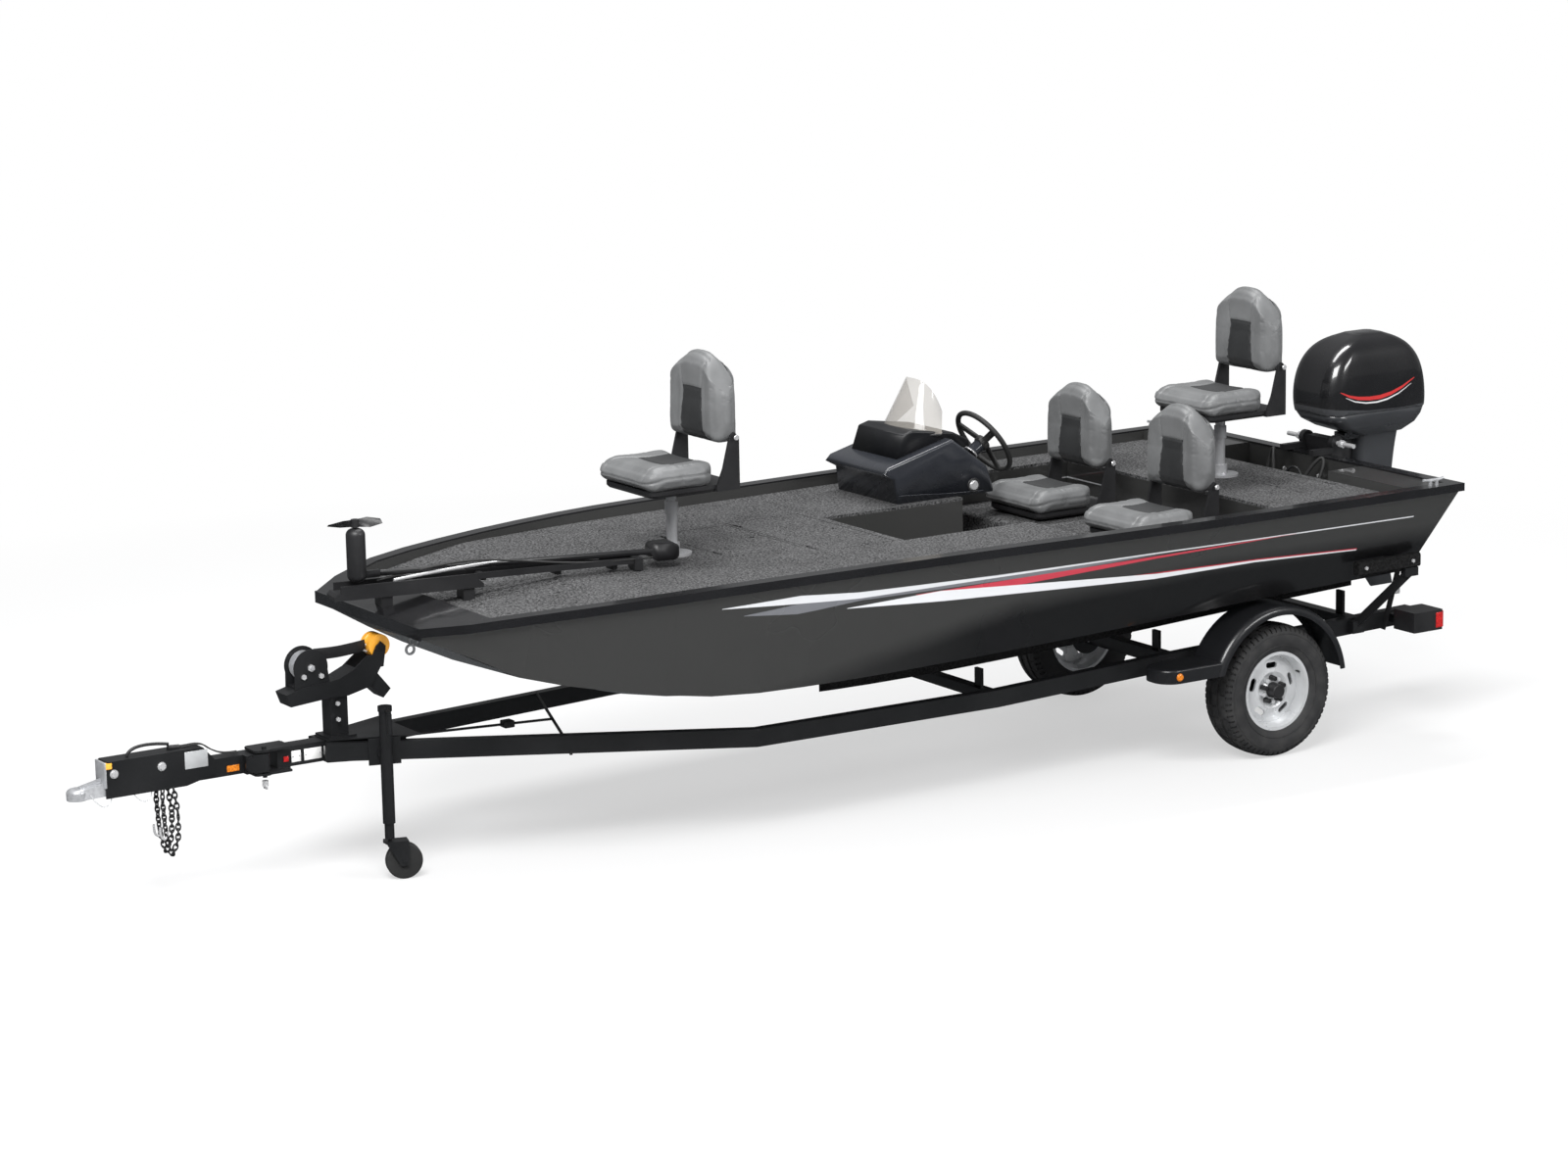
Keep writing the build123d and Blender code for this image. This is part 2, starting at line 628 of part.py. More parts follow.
def console():
    """Slate moulded console with its knee opening, on the starboard shelf."""
    shell = profile_yz(side_outline(CONSOLE_SIDE, CONSOLE_FRONT, DECK_Z), CONSOLE_X0, CONSOLE_X1)
    side_edges = shell.faces().sort_by(Axis.X)[-1].edges() + shell.faces().sort_by(Axis.X)[0].edges()
    shell = fillet([e for e in side_edges if e.center().Z > DECK_Z + CONSOLE_ROUND], CONSOLE_ROUND)
    knee = block(CONSOLE_X0 + CONSOLE_WALL, CONSOLE_X1 - CONSOLE_WALL, CONSOLE_LEGROOM + 40, CONSOLE_BACK + 10,
                 DECK_Z - 5, DECK_Z + KNEE_H)
    return shell - knee


def dash_hood():
    """Charcoal hood on the console, under the windshield."""
    shell = profile_yz(side_outline(HOOD_SIDE, CONSOLE_FRONT, DECK_Z), CONSOLE_X0 + HOOD_INSET,
                       CONSOLE_X1 - HOOD_INSET)
    top = [e for e in shell.edges() if e.center().Z > DECK_Z + CONSOLE_H]
    return fillet(top, HOOD_ROUND) - console()


def windshield():
    """Curved windshield: part of a cone that leans back, cut to an arch."""
    middle = (CONSOLE_X0 + CONSOLE_X1) / 2
    centre_y = CONSOLE_FRONT + SHIELD_FRONT + SHIELD_R
    foot, top = DECK_Z + SHIELD_FOOT, DECK_Z + SHIELD_FOOT + SHIELD_H
    top_r = SHIELD_R - SHIELD_H * tan(radians(SHIELD_LEAN))
    place = Pos(middle, centre_y, (foot + top) / 2)
    sheet = place * (Cone(SHIELD_R, top_r, SHIELD_H) - Cone(SHIELD_R - SHIELD_T, top_r - SHIELD_T, SHIELD_H))
    half = [(SHIELD_HALF, foot), (SHIELD_HALF * 0.86, foot + SHIELD_H * 0.5), (SHIELD_HALF * 0.6, top - 26),
            (SHIELD_HALF * 0.3, top)]
    arch = [(middle + x, z) for x, z in half] + [(middle - x, z) for x, z in reversed(half)]
    face = make_face(Polyline(*[(x, 0, z) for x, z in arch], close=True))
    return (sheet & extrude(face, amount=centre_y, dir=(0, 1, 0))) - dash_hood() - console()


def steering_frame():
    """Local frame of the steering wheel: z along the column, out towards the driver."""
    return Plane(origin=(STEER_X, STEER_Y, STEER_Z), x_dir=(1, 0, 0),
                 z_dir=(0, cos(radians(STEER_TILT)), sin(radians(STEER_TILT)))).location


def steering_wheel():
    """Rim, hub and three spokes."""
    wheel = Torus(STEER_R, STEER_RIM_R)
    wheel += Pos(0, 0, -STEER_HUB_T / 2) * Cylinder(STEER_HUB_R, STEER_HUB_T)
    for turn in (90, 210, 330):
        wheel += Rot(0, 0, turn) * block(STEER_HUB_R - 8, STEER_R, -17, 17, -9, 3)
    return steering_frame() * wheel


def steering_column():
    """Boss between the console and the wheel."""
    column = Pos(0, 0, -STEER_HUB_T - COLUMN_GAP - COLUMN_L / 2) * Cylinder(COLUMN_R, COLUMN_L)
    return (steering_frame() * column) - console()


# Seats

def seat_pan():
    """Black tub under the cushion, with the two hinge ears at the back."""
    side, ear = SEAT_HALF - PAN_INSET, BACK_HALF + 20
    pan = block(-side, side, -SEAT_FRONT + PAN_INSET, SEAT_BACK, 0, PAN_T)
    pan = fillet(pan.edges().filter_by(Axis.Z), 40)
    pan = chamfer(pan.edges().group_by(Axis.Z)[0], 12)
    pan += block(-ear, ear, SEAT_BACK - 60, BACK_HINGE_AFT + 24, 0, PAN_T)
    low, tall = SEAT_BACK - 55, BACK_HINGE_AFT
    outline = [(low, 0), (low, PAN_T), (low + 30, PAN_T + 70), (tall - 24, BACK_HINGE_UP),
               (tall, BACK_HINGE_UP + 22), (tall + 24, BACK_HINGE_UP), (tall + 24, 0)]
    for side in (-1, 1):
        x0, x1 = sorted((side * (BACK_HALF + 6), side * ear))
        pan += profile_yz(outline, x0, x1)
        pan += rod((side * (BACK_HALF - 28), BACK_HINGE_AFT, BACK_HINGE_UP),
                   (side * ear, BACK_HINGE_AFT, BACK_HINGE_UP), BACK_PIN_R)
    return pan


def seat_cushion():
    """Cushion, a rounded closed solid."""
    low = PAN_T + SOFT_GAP
    cushion = block(-SEAT_HALF, SEAT_HALF, -SEAT_FRONT, SEAT_BACK - 58, low, low + CUSHION_T)
    cushion = fillet(cushion.edges().filter_by(Axis.Z), 70)
    return fillet(cushion.edges().group_by(Axis.Z)[-1], 34)


def seat_back_shell():
    """Black shell of the backrest, with the bosses that turn on the pan's pins."""
    front = BACK_HINGE_AFT - 6
    shell = block(-BACK_HALF + 16, BACK_HALF - 16, front, front + BACK_SHELL_T, BACK_HINGE_UP - 20,
                  BACK_HINGE_UP + BACK_H - 24)
    shell = fillet(shell.edges().filter_by(Axis.Y).group_by(Axis.Z)[-1], 90)
    shell = fillet(shell.faces().sort_by(Axis.Y)[-1].edges(), 14)
    for side in (-1, 1):
        x0, x1 = sorted((side * (BACK_HALF - 24), side * (BACK_HALF + 1)))
        shell += rod((x0, BACK_HINGE_AFT, BACK_HINGE_UP), (x1, BACK_HINGE_AFT, BACK_HINGE_UP), 16)
    return shell - rod((-SEAT_HALF, BACK_HINGE_AFT, BACK_HINGE_UP), (SEAT_HALF, BACK_HINGE_AFT, BACK_HINGE_UP),
                       BACK_PIN_R + PIN_FIT)


def seat_back_pad():
    """Backrest cushion, arched at its top."""
    back = BACK_HINGE_AFT - 6 - SOFT_GAP
    pad = block(-BACK_HALF, BACK_HALF, back - BACK_T, back, BACK_HINGE_UP - 34, BACK_HINGE_UP + BACK_H)
    pad = fillet(pad.edges().filter_by(Axis.Y).group_by(Axis.Z)[-1], 110)
    pad = fillet(pad.edges().filter_by(Axis.Y).group_by(Axis.Z)[0], 24)
    pad = fillet(pad.faces().sort_by(Axis.Y)[0].edges(), 22)
    for side in (-1, 1):
        x0, x1 = sorted((side * (BACK_HALF - 40), side * (BACK_HALF + 30)))
        pad -= rod((x0, BACK_HINGE_AFT, BACK_HINGE_UP), (x1, BACK_HINGE_AFT, BACK_HINGE_UP), 22)
    return pad


def pedestal(y):
    """Aluminium post on a round foot, with a collar and a spigot that the seat turns on."""
    # height and radius of each step of the post, from the foot up
    steps = [(DECK_Z, PEDESTAL_FOOT_R), (DECK_Z + 10, 34), (DECK_Z + 55, PEDESTAL_R),
             (PEDESTAL_TOP - 120, 30), (PEDESTAL_TOP - 60, PEDESTAL_R), (PEDESTAL_TOP - 6, SPIGOT_R),
             (PEDESTAL_TOP + SPIGOT_L, 0)]
    outline = [(0, DECK_Z)]
    for (low, radius), (high, _) in zip(steps, steps[1:]):
        outline += [(radius, low), (radius, high)]
    outline.append((0, PEDESTAL_TOP + SPIGOT_L))
    face = make_face(Polyline(*[(r, 0, z) for r, z in outline], close=True))
    return Pos(PEDESTAL_X, y, 0) * revolve(face, Axis.Z)


def swivel_bore(pan):
    """Blind bore in the pan for the pedestal's spigot."""
    return pan - block_cylinder(SPIGOT_R + PIN_FIT, 0, SPIGOT_L + 2)


# Trailer

def rail_side():
    """One main rail with its tongue leg: a box beam that follows the rail's path."""
    beam = None
    for low, high in zip(RAIL_PATH, RAIL_PATH[1:]):
        piece_ = bar((low[1], low[0], low[2] - RAIL_H / 2), (high[1], high[0], high[2] - RAIL_H / 2),
                     RAIL_W, RAIL_H)
        beam = piece_ if beam is None else beam + piece_
    for y, x, top in RAIL_PATH[1:-1]:
        beam += Pos(x, y, top - RAIL_H / 2) * Cylinder(RAIL_W / 2, RAIL_H)
    return beam


def trailer_frame():
    """Both rails, the crossmembers, the tongue stub and its plates, welded into one piece."""
    rail = rail_side()
    frame = rail + mirror(rail, Plane.YZ)
    for y in CROSSMEMBERS:
        low = rail_top(y) - RAIL_H
        frame += block(-RAIL_X, RAIL_X, y - 30, y + 30, low + 4, low + CROSS_H)
    half, back, low, top = TONGUE_W / 2, 140, TONGUE_TOP - TONGUE_H, TONGUE_TOP
    frame += block(-half, half, HINGE_Y + 70, back, low, top)
    gusset = [(-60, -250), (60, -250), (200, 130), (-200, 130)]
    for z in (low - 6, top):
        frame += plan(gusset, z, z + 6)
    for z in (low - 12, top + 2):
        ear = block(-half, HINGE_X + 20, HINGE_Y - 50, HINGE_Y + 120, z, z + 10)
        ear += Pos(HINGE_X, HINGE_Y, 0) * block_cylinder(30, z, z + 10)
        frame += chamfer(ear.edges().filter_by(Axis.Z).group_by(Axis.Y)[0], 12)
    frame += block(-half, half, HINGE_Y + 70, HINGE_Y + 130, low - 8, top + 8)
    return frame + Pos(HINGE_X, HINGE_Y, 0) * block_cylinder(HINGE_PIN_R, low - 24, top + 24)


def swing_tongue():
    """Front of the tongue that swings aside, with its knuckle and locking ring."""
    half, low, top = TONGUE_W / 2, TONGUE_TOP - TONGUE_H + 4, TONGUE_TOP - 4
    back = HINGE_Y - 34
    tube = block(-half, half, COUPLER_TIP + COUPLER_L, back, low, top)
    tube += block(0, HINGE_X + 14, back - 56, back, low, top)
    tube += Pos(HINGE_X, HINGE_Y, 0) * block_cylinder(24, low, top)
    tube += block(HINGE_X - 20, HINGE_X + 20, HINGE_Y - 60, HINGE_Y, low, top)
    tube += rod((HINGE_X + 14, back - 28, (low + top) / 2), (HINGE_X + 22, back - 28, (low + top) / 2), 34)
    return tube - Pos(HINGE_X, HINGE_Y, 0) * block_cylinder(HINGE_PIN_R + PIN_FIT, low - 9, top + 9)


def coupler():
    """Ball coupler: a rounded socket hood, its neck and its latch."""
    head_y, mid, hood_r = COUPLER_TIP + 45, TONGUE_TOP - 66, 44
    hood = Pos(0, head_y, 0) * block_cylinder(hood_r, mid - 24, mid + 24)
    hood = fillet(hood.edges().group_by(Axis.Z)[-1], 20)
    sections = []
    for y, half, low, high in ((head_y, 42, mid - 22, mid + 16), (COUPLER_TIP + COUPLER_L, 40, mid - 20, mid + 36)):
        sections.append(section([(-half, low), (half, low), (half - 8, high), (8 - half, high)], y))
    body = hood + ruled(sections)
    body -= Pos(0, head_y, 0) * block_cylinder(SOCKET_R, mid - 30, mid + 8)
    latch = bar((0, head_y + 12, mid + 22), (0, head_y + 116, mid + 44), 22, 14)
    return body + latch


def brake_actuator():
    """Black housing of the surge brake over the front of the tongue."""
    front = COUPLER_TIP + COUPLER_L
    top, high = TONGUE_TOP - 4, TONGUE_TOP + ACTUATOR_UP
    half = TONGUE_W / 2 + 8
    outline = [(front - 14, top - 20), (front - 14, high - 14), (front, high), (front + ACTUATOR_L - 10, high),
               (front + ACTUATOR_L + 40, top + 6), (front + ACTUATOR_L + 40, top - 60),
               (front + ACTUATOR_L - 90, top - 92), (front - 14, top - 92)]
    box = profile_yz(outline, -half, half)
    box = fillet(box.edges().filter_by(Axis.X).group_by(Axis.Z)[-1], 8)
    return box - block(-half + 6, half - 6, front - 20, front, top - 100, top - 8)


def axle():
    """Square axle with its two spindles and brake plates."""
    inner = WHEEL_X - TYRE_W / 2 - 7
    beam = block(-inner, inner, WHEEL_Y - AXLE_HALF_SIDE, WHEEL_Y + AXLE_HALF_SIDE,
                 TYRE_R - AXLE_HALF_SIDE, TYRE_R + AXLE_HALF_SIDE)
    end = WHEEL_X + AXLE_STUB
    spindle = rod((-end, WHEEL_Y, TYRE_R), (end, WHEEL_Y, TYRE_R), HUB_BORE - PIN_FIT)
    plate = rod((inner - 10, WHEEL_Y, TYRE_R), (inner, WHEEL_Y, TYRE_R), BRAKE_R)
    return beam + spindle + plate + mirror(plate, Plane.YZ)


def leaf_springs():
    """Leaf packs over the axle, hung from brackets under the rails."""
    seat = TYRE_R + AXLE_HALF_SIDE
    under = rail_top(WHEEL_Y - SPRING_HALF) - RAIL_H
    ends, low, high = SPRING_HALF, under - 34 - SPRING_T, under - 34
    # each leaf is shorter than the one above it
    leaves = [(ends, low, seat + 22), (ends * 0.8, low - 8, seat + 11), (ends * 0.6, low - 4, seat)]
    x0, x1 = RAIL_X - 23, RAIL_X + 22
    pack = None
    for reach, end_z, mid_z in leaves:
        slope = (end_z - mid_z) / ends
        tip = mid_z + slope * reach
        leaf = profile_yz([(WHEEL_Y - reach, tip), (WHEEL_Y, mid_z), (WHEEL_Y + reach, tip),
                           (WHEEL_Y + reach, tip + SPRING_T), (WHEEL_Y, mid_z + SPRING_T),
                           (WHEEL_Y - reach, tip + SPRING_T)], x0, x1)
        pack = leaf if pack is None else pack + leaf
    for end in (-1, 1):
        y = WHEEL_Y + end * ends
        pack += block(x0, x1, y - 22, y + 22, low - 14, rail_top(y) - RAIL_H - 3)
    return both_sides(pack)


def fender():
    """Rounded steel mudguard with its front step."""
    width = FENDER_OUT - FENDER_IN
    outer = Pos((FENDER_IN + FENDER_OUT) / 2, FENDER_CENTRE_Y, FENDER_CENTRE_Z) * Rot(0, 90, 0)
    ring = outer * Cylinder(FENDER_R, width)
    ring = fillet(ring.edges().sort_by(Axis.X)[-1], FENDER_ROUND)
    inner = outer * Cylinder(FENDER_R - FENDER_T, width - 2 * FENDER_T)
    ring -= fillet(inner.edges().sort_by(Axis.X)[-1], FENDER_ROUND - FENDER_T)
    ring -= outer * (Pos(0, 0, -width / 2) * Cylinder(FENDER_R - FENDER_LIP, width))
    ring -= outer * Cylinder(FENDER_R - FENDER_LIP - 16, width * 2)
    ring -= block(0, SKY, 0, FENDER_CENTRE_Y, -FENDER_R, STEP_Z)
    ring -= block(0, SKY, FENDER_CENTRE_Y, FAR, -FENDER_R, FENDER_CENTRE_Z + 55)
    front = FENDER_CENTRE_Y - FENDER_R - 285
    step = block(FENDER_IN, FENDER_OUT, front, front + STEP_L, STEP_Z, STEP_Z + STEP_H)
    step = fillet(step.edges().filter_by(Axis.Z).group_by(Axis.Y)[0], STEP_ROUND)
    step = fillet(step.edges().group_by(Axis.Z)[-1].group_by(Axis.Y)[0], 10)
    step -= Pos((FENDER_IN + FENDER_OUT) / 2, FENDER_CENTRE_Y, FENDER_CENTRE_Z) * Rot(0, 90, 0) \
        * Cylinder(FENDER_R - FENDER_T, 2 * width)
    return both_sides(ring + step)


def fender_brackets():
    """Arms that carry the fenders from the rails."""
    y, out = WHEEL_Y - 500, RAIL_X + RAIL_W / 2
    arm = block(out - 4, FENDER_IN + 120, y - 40, y + 40, STEP_Z - 8, STEP_Z - 0.5)
    arm += block(out - 4, out + 6, y - 40, y + 40, STEP_Z - 8, rail_top(y) - 20)
    return both_sides(arm)


def tyre():
    """Tyre with rounded shoulders, turned about X."""
    half, bead = TYRE_W / 2, RIM_HALF - FLANGE_T - 1
    middle = (FLANGE_R + TYRE_R) / 2
    side = [(bead, RIM_R + 0.5), (bead, FLANGE_R + 2), (RIM_HALF + 4, FLANGE_R + 6), (half - 4, middle - 24),
            (half, middle), (half - 4, middle + 26), (half - 16, TYRE_R - 20), (half - 38, TYRE_R)]
    outline = side + [(-x, r) for x, r in reversed(side)]
    return revolve(make_face(Polyline(*[(x, 0, r) for x, r in outline], close=True)), Axis.X)


def wheel_rim():
    """Steel wheel: dropped rim, dished disc with oval slots, hub and lug nuts on its outer side."""
    half, seat, hub_out = RIM_HALF, RIM_R, DISC_X + 62
    outline = [(-half, FLANGE_R), (-half, seat - 8), (-half + 30, seat - 24), (DISC_X - 14, seat - 32),
               (DISC_X - 10, 140), (DISC_X + 4, 86), (DISC_X - 12, 62), (DISC_X - 12, 50), (-46, 44),
               (-46, HUB_BORE), (hub_out, HUB_BORE), (hub_out, 30), (DISC_X + 14, 38), (DISC_X, 52),
               (DISC_X, 66), (DISC_X + 14, 88), (DISC_X, 140), (DISC_X - 4, seat - 24), (half - 20, seat - 16),
               (half, seat - 8), (half, FLANGE_R), (half - FLANGE_T, FLANGE_R), (half - FLANGE_T, seat),
               (-half + FLANGE_T, seat), (-half + FLANGE_T, FLANGE_R)]
    rim = revolve(make_face(Polyline(*[(x, 0, r) for x, r in outline], close=True)), Axis.X)
    slot = extrude(Plane.XY * SlotOverall(SLOT_L, SLOT_W), amount=40, both=True)
    for index in range(WHEEL_SLOTS):
        turn = index * 360 / WHEEL_SLOTS
        rim -= Rot(turn, 0, 0) * Pos(DISC_X, 0, SLOT_R) * Rot(0, 90, 0) * Rot(0, 0, 90) * slot
        rim += Rot(turn + 180 / WHEEL_SLOTS, 0, 0) * Pos(DISC_X + 8, 0, LUG_CIRCLE_R) * Rot(0, 90, 0) \
            * Cylinder(LUG_R, 26)
    return rim


def wheel_at(shape, side):
    """A wheel's piece at its place, mirrored for the starboard side."""
    placed = shape if side > 0 else mirror(shape, Plane.YZ)
    return Pos(side * WHEEL_X, WHEEL_Y, TYRE_R) * placed


def bunks():
    """Carpeted bunks under the hull, tilted to its bottom."""
    left, right = BUNK_X - BUNK_W / 2, BUNK_X + BUNK_W / 2
    sections = []
    for y in rows_between(BUNK_FRONT, BUNK_BACK):
        a, b = bottom_z(left, y) - BUNK_CLEAR, bottom_z(right, y) - BUNK_CLEAR
        sections.append(section([(left, a), (right, b), (right, b - BUNK_T), (left, a - BUNK_T)], y))
    return both_sides(ruled(sections))


def bunk_brackets():
    """Posts from the crossmembers up to the bunks."""
    posts = None
    for y in CROSSMEMBERS:
        foot = rail_top(y) - RAIL_H + CROSS_H
        top = bottom_z(BUNK_X - BUNK_W / 2, y) - BUNK_CLEAR - BUNK_T
        post = block(BUNK_X - 25, BUNK_X + 25, y - 8, y + 8, foot, top - 4)
        posts = post if posts is None else Compound(children=[*posts.solids(), *post.solids()])
    return both_sides(posts)


def winch_post():
    """Stand on the tongue: a post, its foot, two bent head plates, the bow stop and the roller's pin."""
    base = TONGUE_TOP + 6
    post = block(-POST_HALF, POST_HALF, POST_Y - POST_HALF, POST_Y + POST_HALF, base, HEAD_SIDE[-2][1] + 30)
    post += block(-66, 66, POST_Y - 66, POST_Y + 66, base, base + POST_T)
    plates = profile_yz(side_outline(HEAD_SIDE, POST_Y, 0), -HEAD_HALF, HEAD_HALF)
    plates -= block(-HEAD_HALF + POST_T, HEAD_HALF - POST_T, POST_Y + 80, FAR, 0, SKY)
    post += plates
    post += profile_yz(side_outline(STOP_SIDE, POST_Y, 0), -HEAD_HALF + POST_T, HEAD_HALF - POST_T)
    for side in (-1, 1):
        x0, x1 = sorted((side * (HEAD_HALF - POST_T), side * HEAD_HALF))
        post += profile_yz([(POST_Y + 140, 900), (POST_Y + 214, 900), (ROLLER_Y + 24, ROLLER_Z),
                            (ROLLER_Y, ROLLER_Z + 22), (ROLLER_Y - 24, ROLLER_Z)], x0, x1)
    return post + rod((-HEAD_HALF - 6, ROLLER_Y, ROLLER_Z), (HEAD_HALF + 6, ROLLER_Y, ROLLER_Z), ROLLER_PIN_R)


def bow_roller():
    """Keyed roller that the bow rests against."""
    roller = rod((-ROLLER_HALF, ROLLER_Y, ROLLER_Z), (ROLLER_HALF, ROLLER_Y, ROLLER_Z), ROLLER_R)
    roller -= Pos(0, ROLLER_Y, ROLLER_Z) * Rot(0, 90, 0) * Torus(ROLLER_R + 10, 18)
    return roller - rod((-HEAD_HALF, ROLLER_Y, ROLLER_Z), (HEAD_HALF, ROLLER_Y, ROLLER_Z),
                        ROLLER_PIN_R + PIN_FIT)


def winch_frame():
    """Two round side plates of the winch on a folded foot."""
    frame = block(-WINCH_HALF, WINCH_HALF, WINCH_Y - 70, WINCH_Y + 90, 838, 862)
    for side in (-1, 1):
        x0, x1 = sorted((side * (WINCH_HALF - 6), side * WINCH_HALF))
        frame += rod((x0, WINCH_Y, WINCH_Z), (x1, WINCH_Y, WINCH_Z), WINCH_R)
        frame += profile_yz([(WINCH_Y - 78, 840), (WINCH_Y + 90, 840), (WINCH_Y + 78, WINCH_Z - 10),
                             (WINCH_Y - 76, WINCH_Z - 20)], x0, x1)
    return frame


def winch_drum():
    """Drum with its two flanges."""
    drum = rod((-38, WINCH_Y, WINCH_Z), (38, WINCH_Y, WINCH_Z), DRUM_R)
    for x in (-38, 34):
        drum += rod((x, WINCH_Y, WINCH_Z), (x + 4, WINCH_Y, WINCH_Z), DRUM_FLANGE_R)
    return drum


def winch_crank():
    """Shaft and crank handle, on the starboard side."""
    shaft = rod((CRANK_X, WINCH_Y, WINCH_Z), (WINCH_HALF + 18, WINCH_Y, WINCH_Z), WINCH_SHAFT_R)
    arm = block(CRANK_X, CRANK_X + 8, WINCH_Y - 12, WINCH_Y + 12, WINCH_Z - CRANK_L + 14, WINCH_Z + 14)
    low = WINCH_Z - CRANK_L + 28
    return shaft + arm + rod((CRANK_X, WINCH_Y, low), (CRANK_X - 90, WINCH_Y, low), 13)


# Jack, in its own frame: x out from the tongue leg, y aft along the leg, z up

LEG_DX = RAIL_PATH[1][1] - RAIL_PATH[0][1]

LEG_DY = RAIL_PATH[1][0] - RAIL_PATH[0][0]

LEG_ANGLE = degrees(atan2(LEG_DX, LEG_DY))

JACK_Y = -20

JACK_OUT = 72            # jack axis out from the leg's centre line

JACK_SHARE = (JACK_Y - RAIL_PATH[0][0]) / LEG_DY

JACK_LEG_X = RAIL_PATH[0][1] + LEG_DX * JACK_SHARE

JACK_LEG_TOP = RAIL_PATH[0][2] + (RAIL_PATH[1][2] - RAIL_PATH[0][2]) * JACK_SHARE

JACK_PIVOT_Z = JACK_LEG_TOP - RAIL_H / 2

JACK_FRAME = Pos(JACK_LEG_X, JACK_Y, 0) * Rot(0, 0, -LEG_ANGLE)

CASTER_TRAIL = 58


def jack_bracket():
    """Plate clamped on the tongue leg, with the round pivot boss."""
    face = RAIL_W / 2
    plate = block(face, face + 8, -70, 70, JACK_PIVOT_Z - 58, JACK_PIVOT_Z + 58)
    plate += rod((face + 8, 0, JACK_PIVOT_Z), (face + 16, 0, JACK_PIVOT_Z), 34)
    return JACK_FRAME * plate


def jack_tube():
    """Outer tube of the jack with its swivel plate, top cap and crank."""
    face = RAIL_W / 2 + 16.3
    tube = Pos(JACK_OUT, 0, (JACK_PIVOT_Z + 190 + 250) / 2) * Cylinder(27, JACK_PIVOT_Z + 190 - 250)
    tube += rod((face, 0, JACK_PIVOT_Z), (JACK_OUT - 20, 0, JACK_PIVOT_Z), 34)
    tube += Pos(JACK_OUT, 0, JACK_PIVOT_Z + 198) * Cylinder(31, 22)
    tube += bar((JACK_OUT, 0, JACK_PIVOT_Z + 200), (JACK_OUT + 110, 0, JACK_PIVOT_Z + 200), 16, 10)
    tube += rod((JACK_OUT + 104, 0, JACK_PIVOT_Z + 196), (JACK_OUT + 104, 0, JACK_PIVOT_Z + 110), 11)
    tube += Pos(JACK_OUT, 0, 222) * Cylinder(21, 80)
    tube += Pos(JACK_OUT, 0, 2 * JACK_WHEEL_R + 22) * Cylinder(9, 40)
    return JACK_FRAME * tube


def jack_yoke():
    """Caster fork that turns under the tube and carries the wheel."""
    z = 2 * JACK_WHEEL_R
    fork = Pos(JACK_OUT, 0, z + 8) * Cylinder(30, 8)
    fork += block(JACK_OUT - 34, JACK_OUT + 34, -24, CASTER_TRAIL + 20, z + 4, z + 12)
    for side in (-1, 1):
        x0, x1 = sorted((JACK_OUT + side * 28, JACK_OUT + side * 34))
        fork += profile_yz([(-24, z + 12), (CASTER_TRAIL + 20, z + 12), (CASTER_TRAIL + 18, JACK_WHEEL_R - 18),
                            (CASTER_TRAIL - 18, JACK_WHEEL_R - 18)], x0, x1)
    fork += rod((JACK_OUT - 38, CASTER_TRAIL, JACK_WHEEL_R), (JACK_OUT + 38, CASTER_TRAIL, JACK_WHEEL_R), 7)
    fork -= Pos(JACK_OUT, 0, z + 10) * Cylinder(9.06, 60)
    return JACK_FRAME * fork


def jack_wheel():
    """Solid jack wheel."""
    wheel = rod((JACK_OUT - 22, CASTER_TRAIL, JACK_WHEEL_R), (JACK_OUT + 22, CASTER_TRAIL, JACK_WHEEL_R),
                JACK_WHEEL_R)
    wheel = fillet(wheel.edges(), 8)
    wheel -= rod((JACK_OUT - 40, CASTER_TRAIL, JACK_WHEEL_R), (JACK_OUT + 40, CASTER_TRAIL, JACK_WHEEL_R), 7.06)
    return JACK_FRAME * wheel


def tail_lights():
    """Lamp boxes behind the rails."""
    box = block(LIGHT_IN, LIGHT_OUT, LIGHT_Y, LIGHT_Y + LIGHT_L, LIGHT_Z, LIGHT_Z + LIGHT_H)
    return both_sides(fillet(box.edges().filter_by(Axis.Z), 8))


def guide_pads():
    """Padded guides beside the stern."""
    pad = block(GUIDE_PAD_IN, GUIDE_PAD_IN + GUIDE_PAD_T, GUIDE_PAD_Y, GUIDE_PAD_Y + GUIDE_PAD_L,
                GUIDE_PAD_Z, GUIDE_PAD_Z + GUIDE_PAD_H)
    return both_sides(fillet(pad.edges().filter_by(Axis.Y), 14))


def stern_arms():
    """Struts that carry the guide pads and arms that carry the tail lights."""
    out = RAIL_X + RAIL_W / 2
    y, low = HULL_LENGTH - 290, GUIDE_PAD_Z - 0.5
    z = rail_top(y)
    mid = GUIDE_PAD_IN + GUIDE_PAD_T / 2
    strut = bar((out + 18, y, z - 30), (mid, y + 120, low - 22), 28, 40)
    strut += block(GUIDE_PAD_IN, GUIDE_PAD_IN + GUIDE_PAD_T - 4, y + 80, y + 160, low - 42, low)
    strut += block(out - 4, out + 40, y - 35, y + 35, z - 70, z - 10)
    strut += block(out - 4, LIGHT_IN - 0.5, LIGHT_Y + 50, LIGHT_Y + 120, LIGHT_Z + 12, LIGHT_Z + 52)
    return both_sides(strut)


# Outboard motor

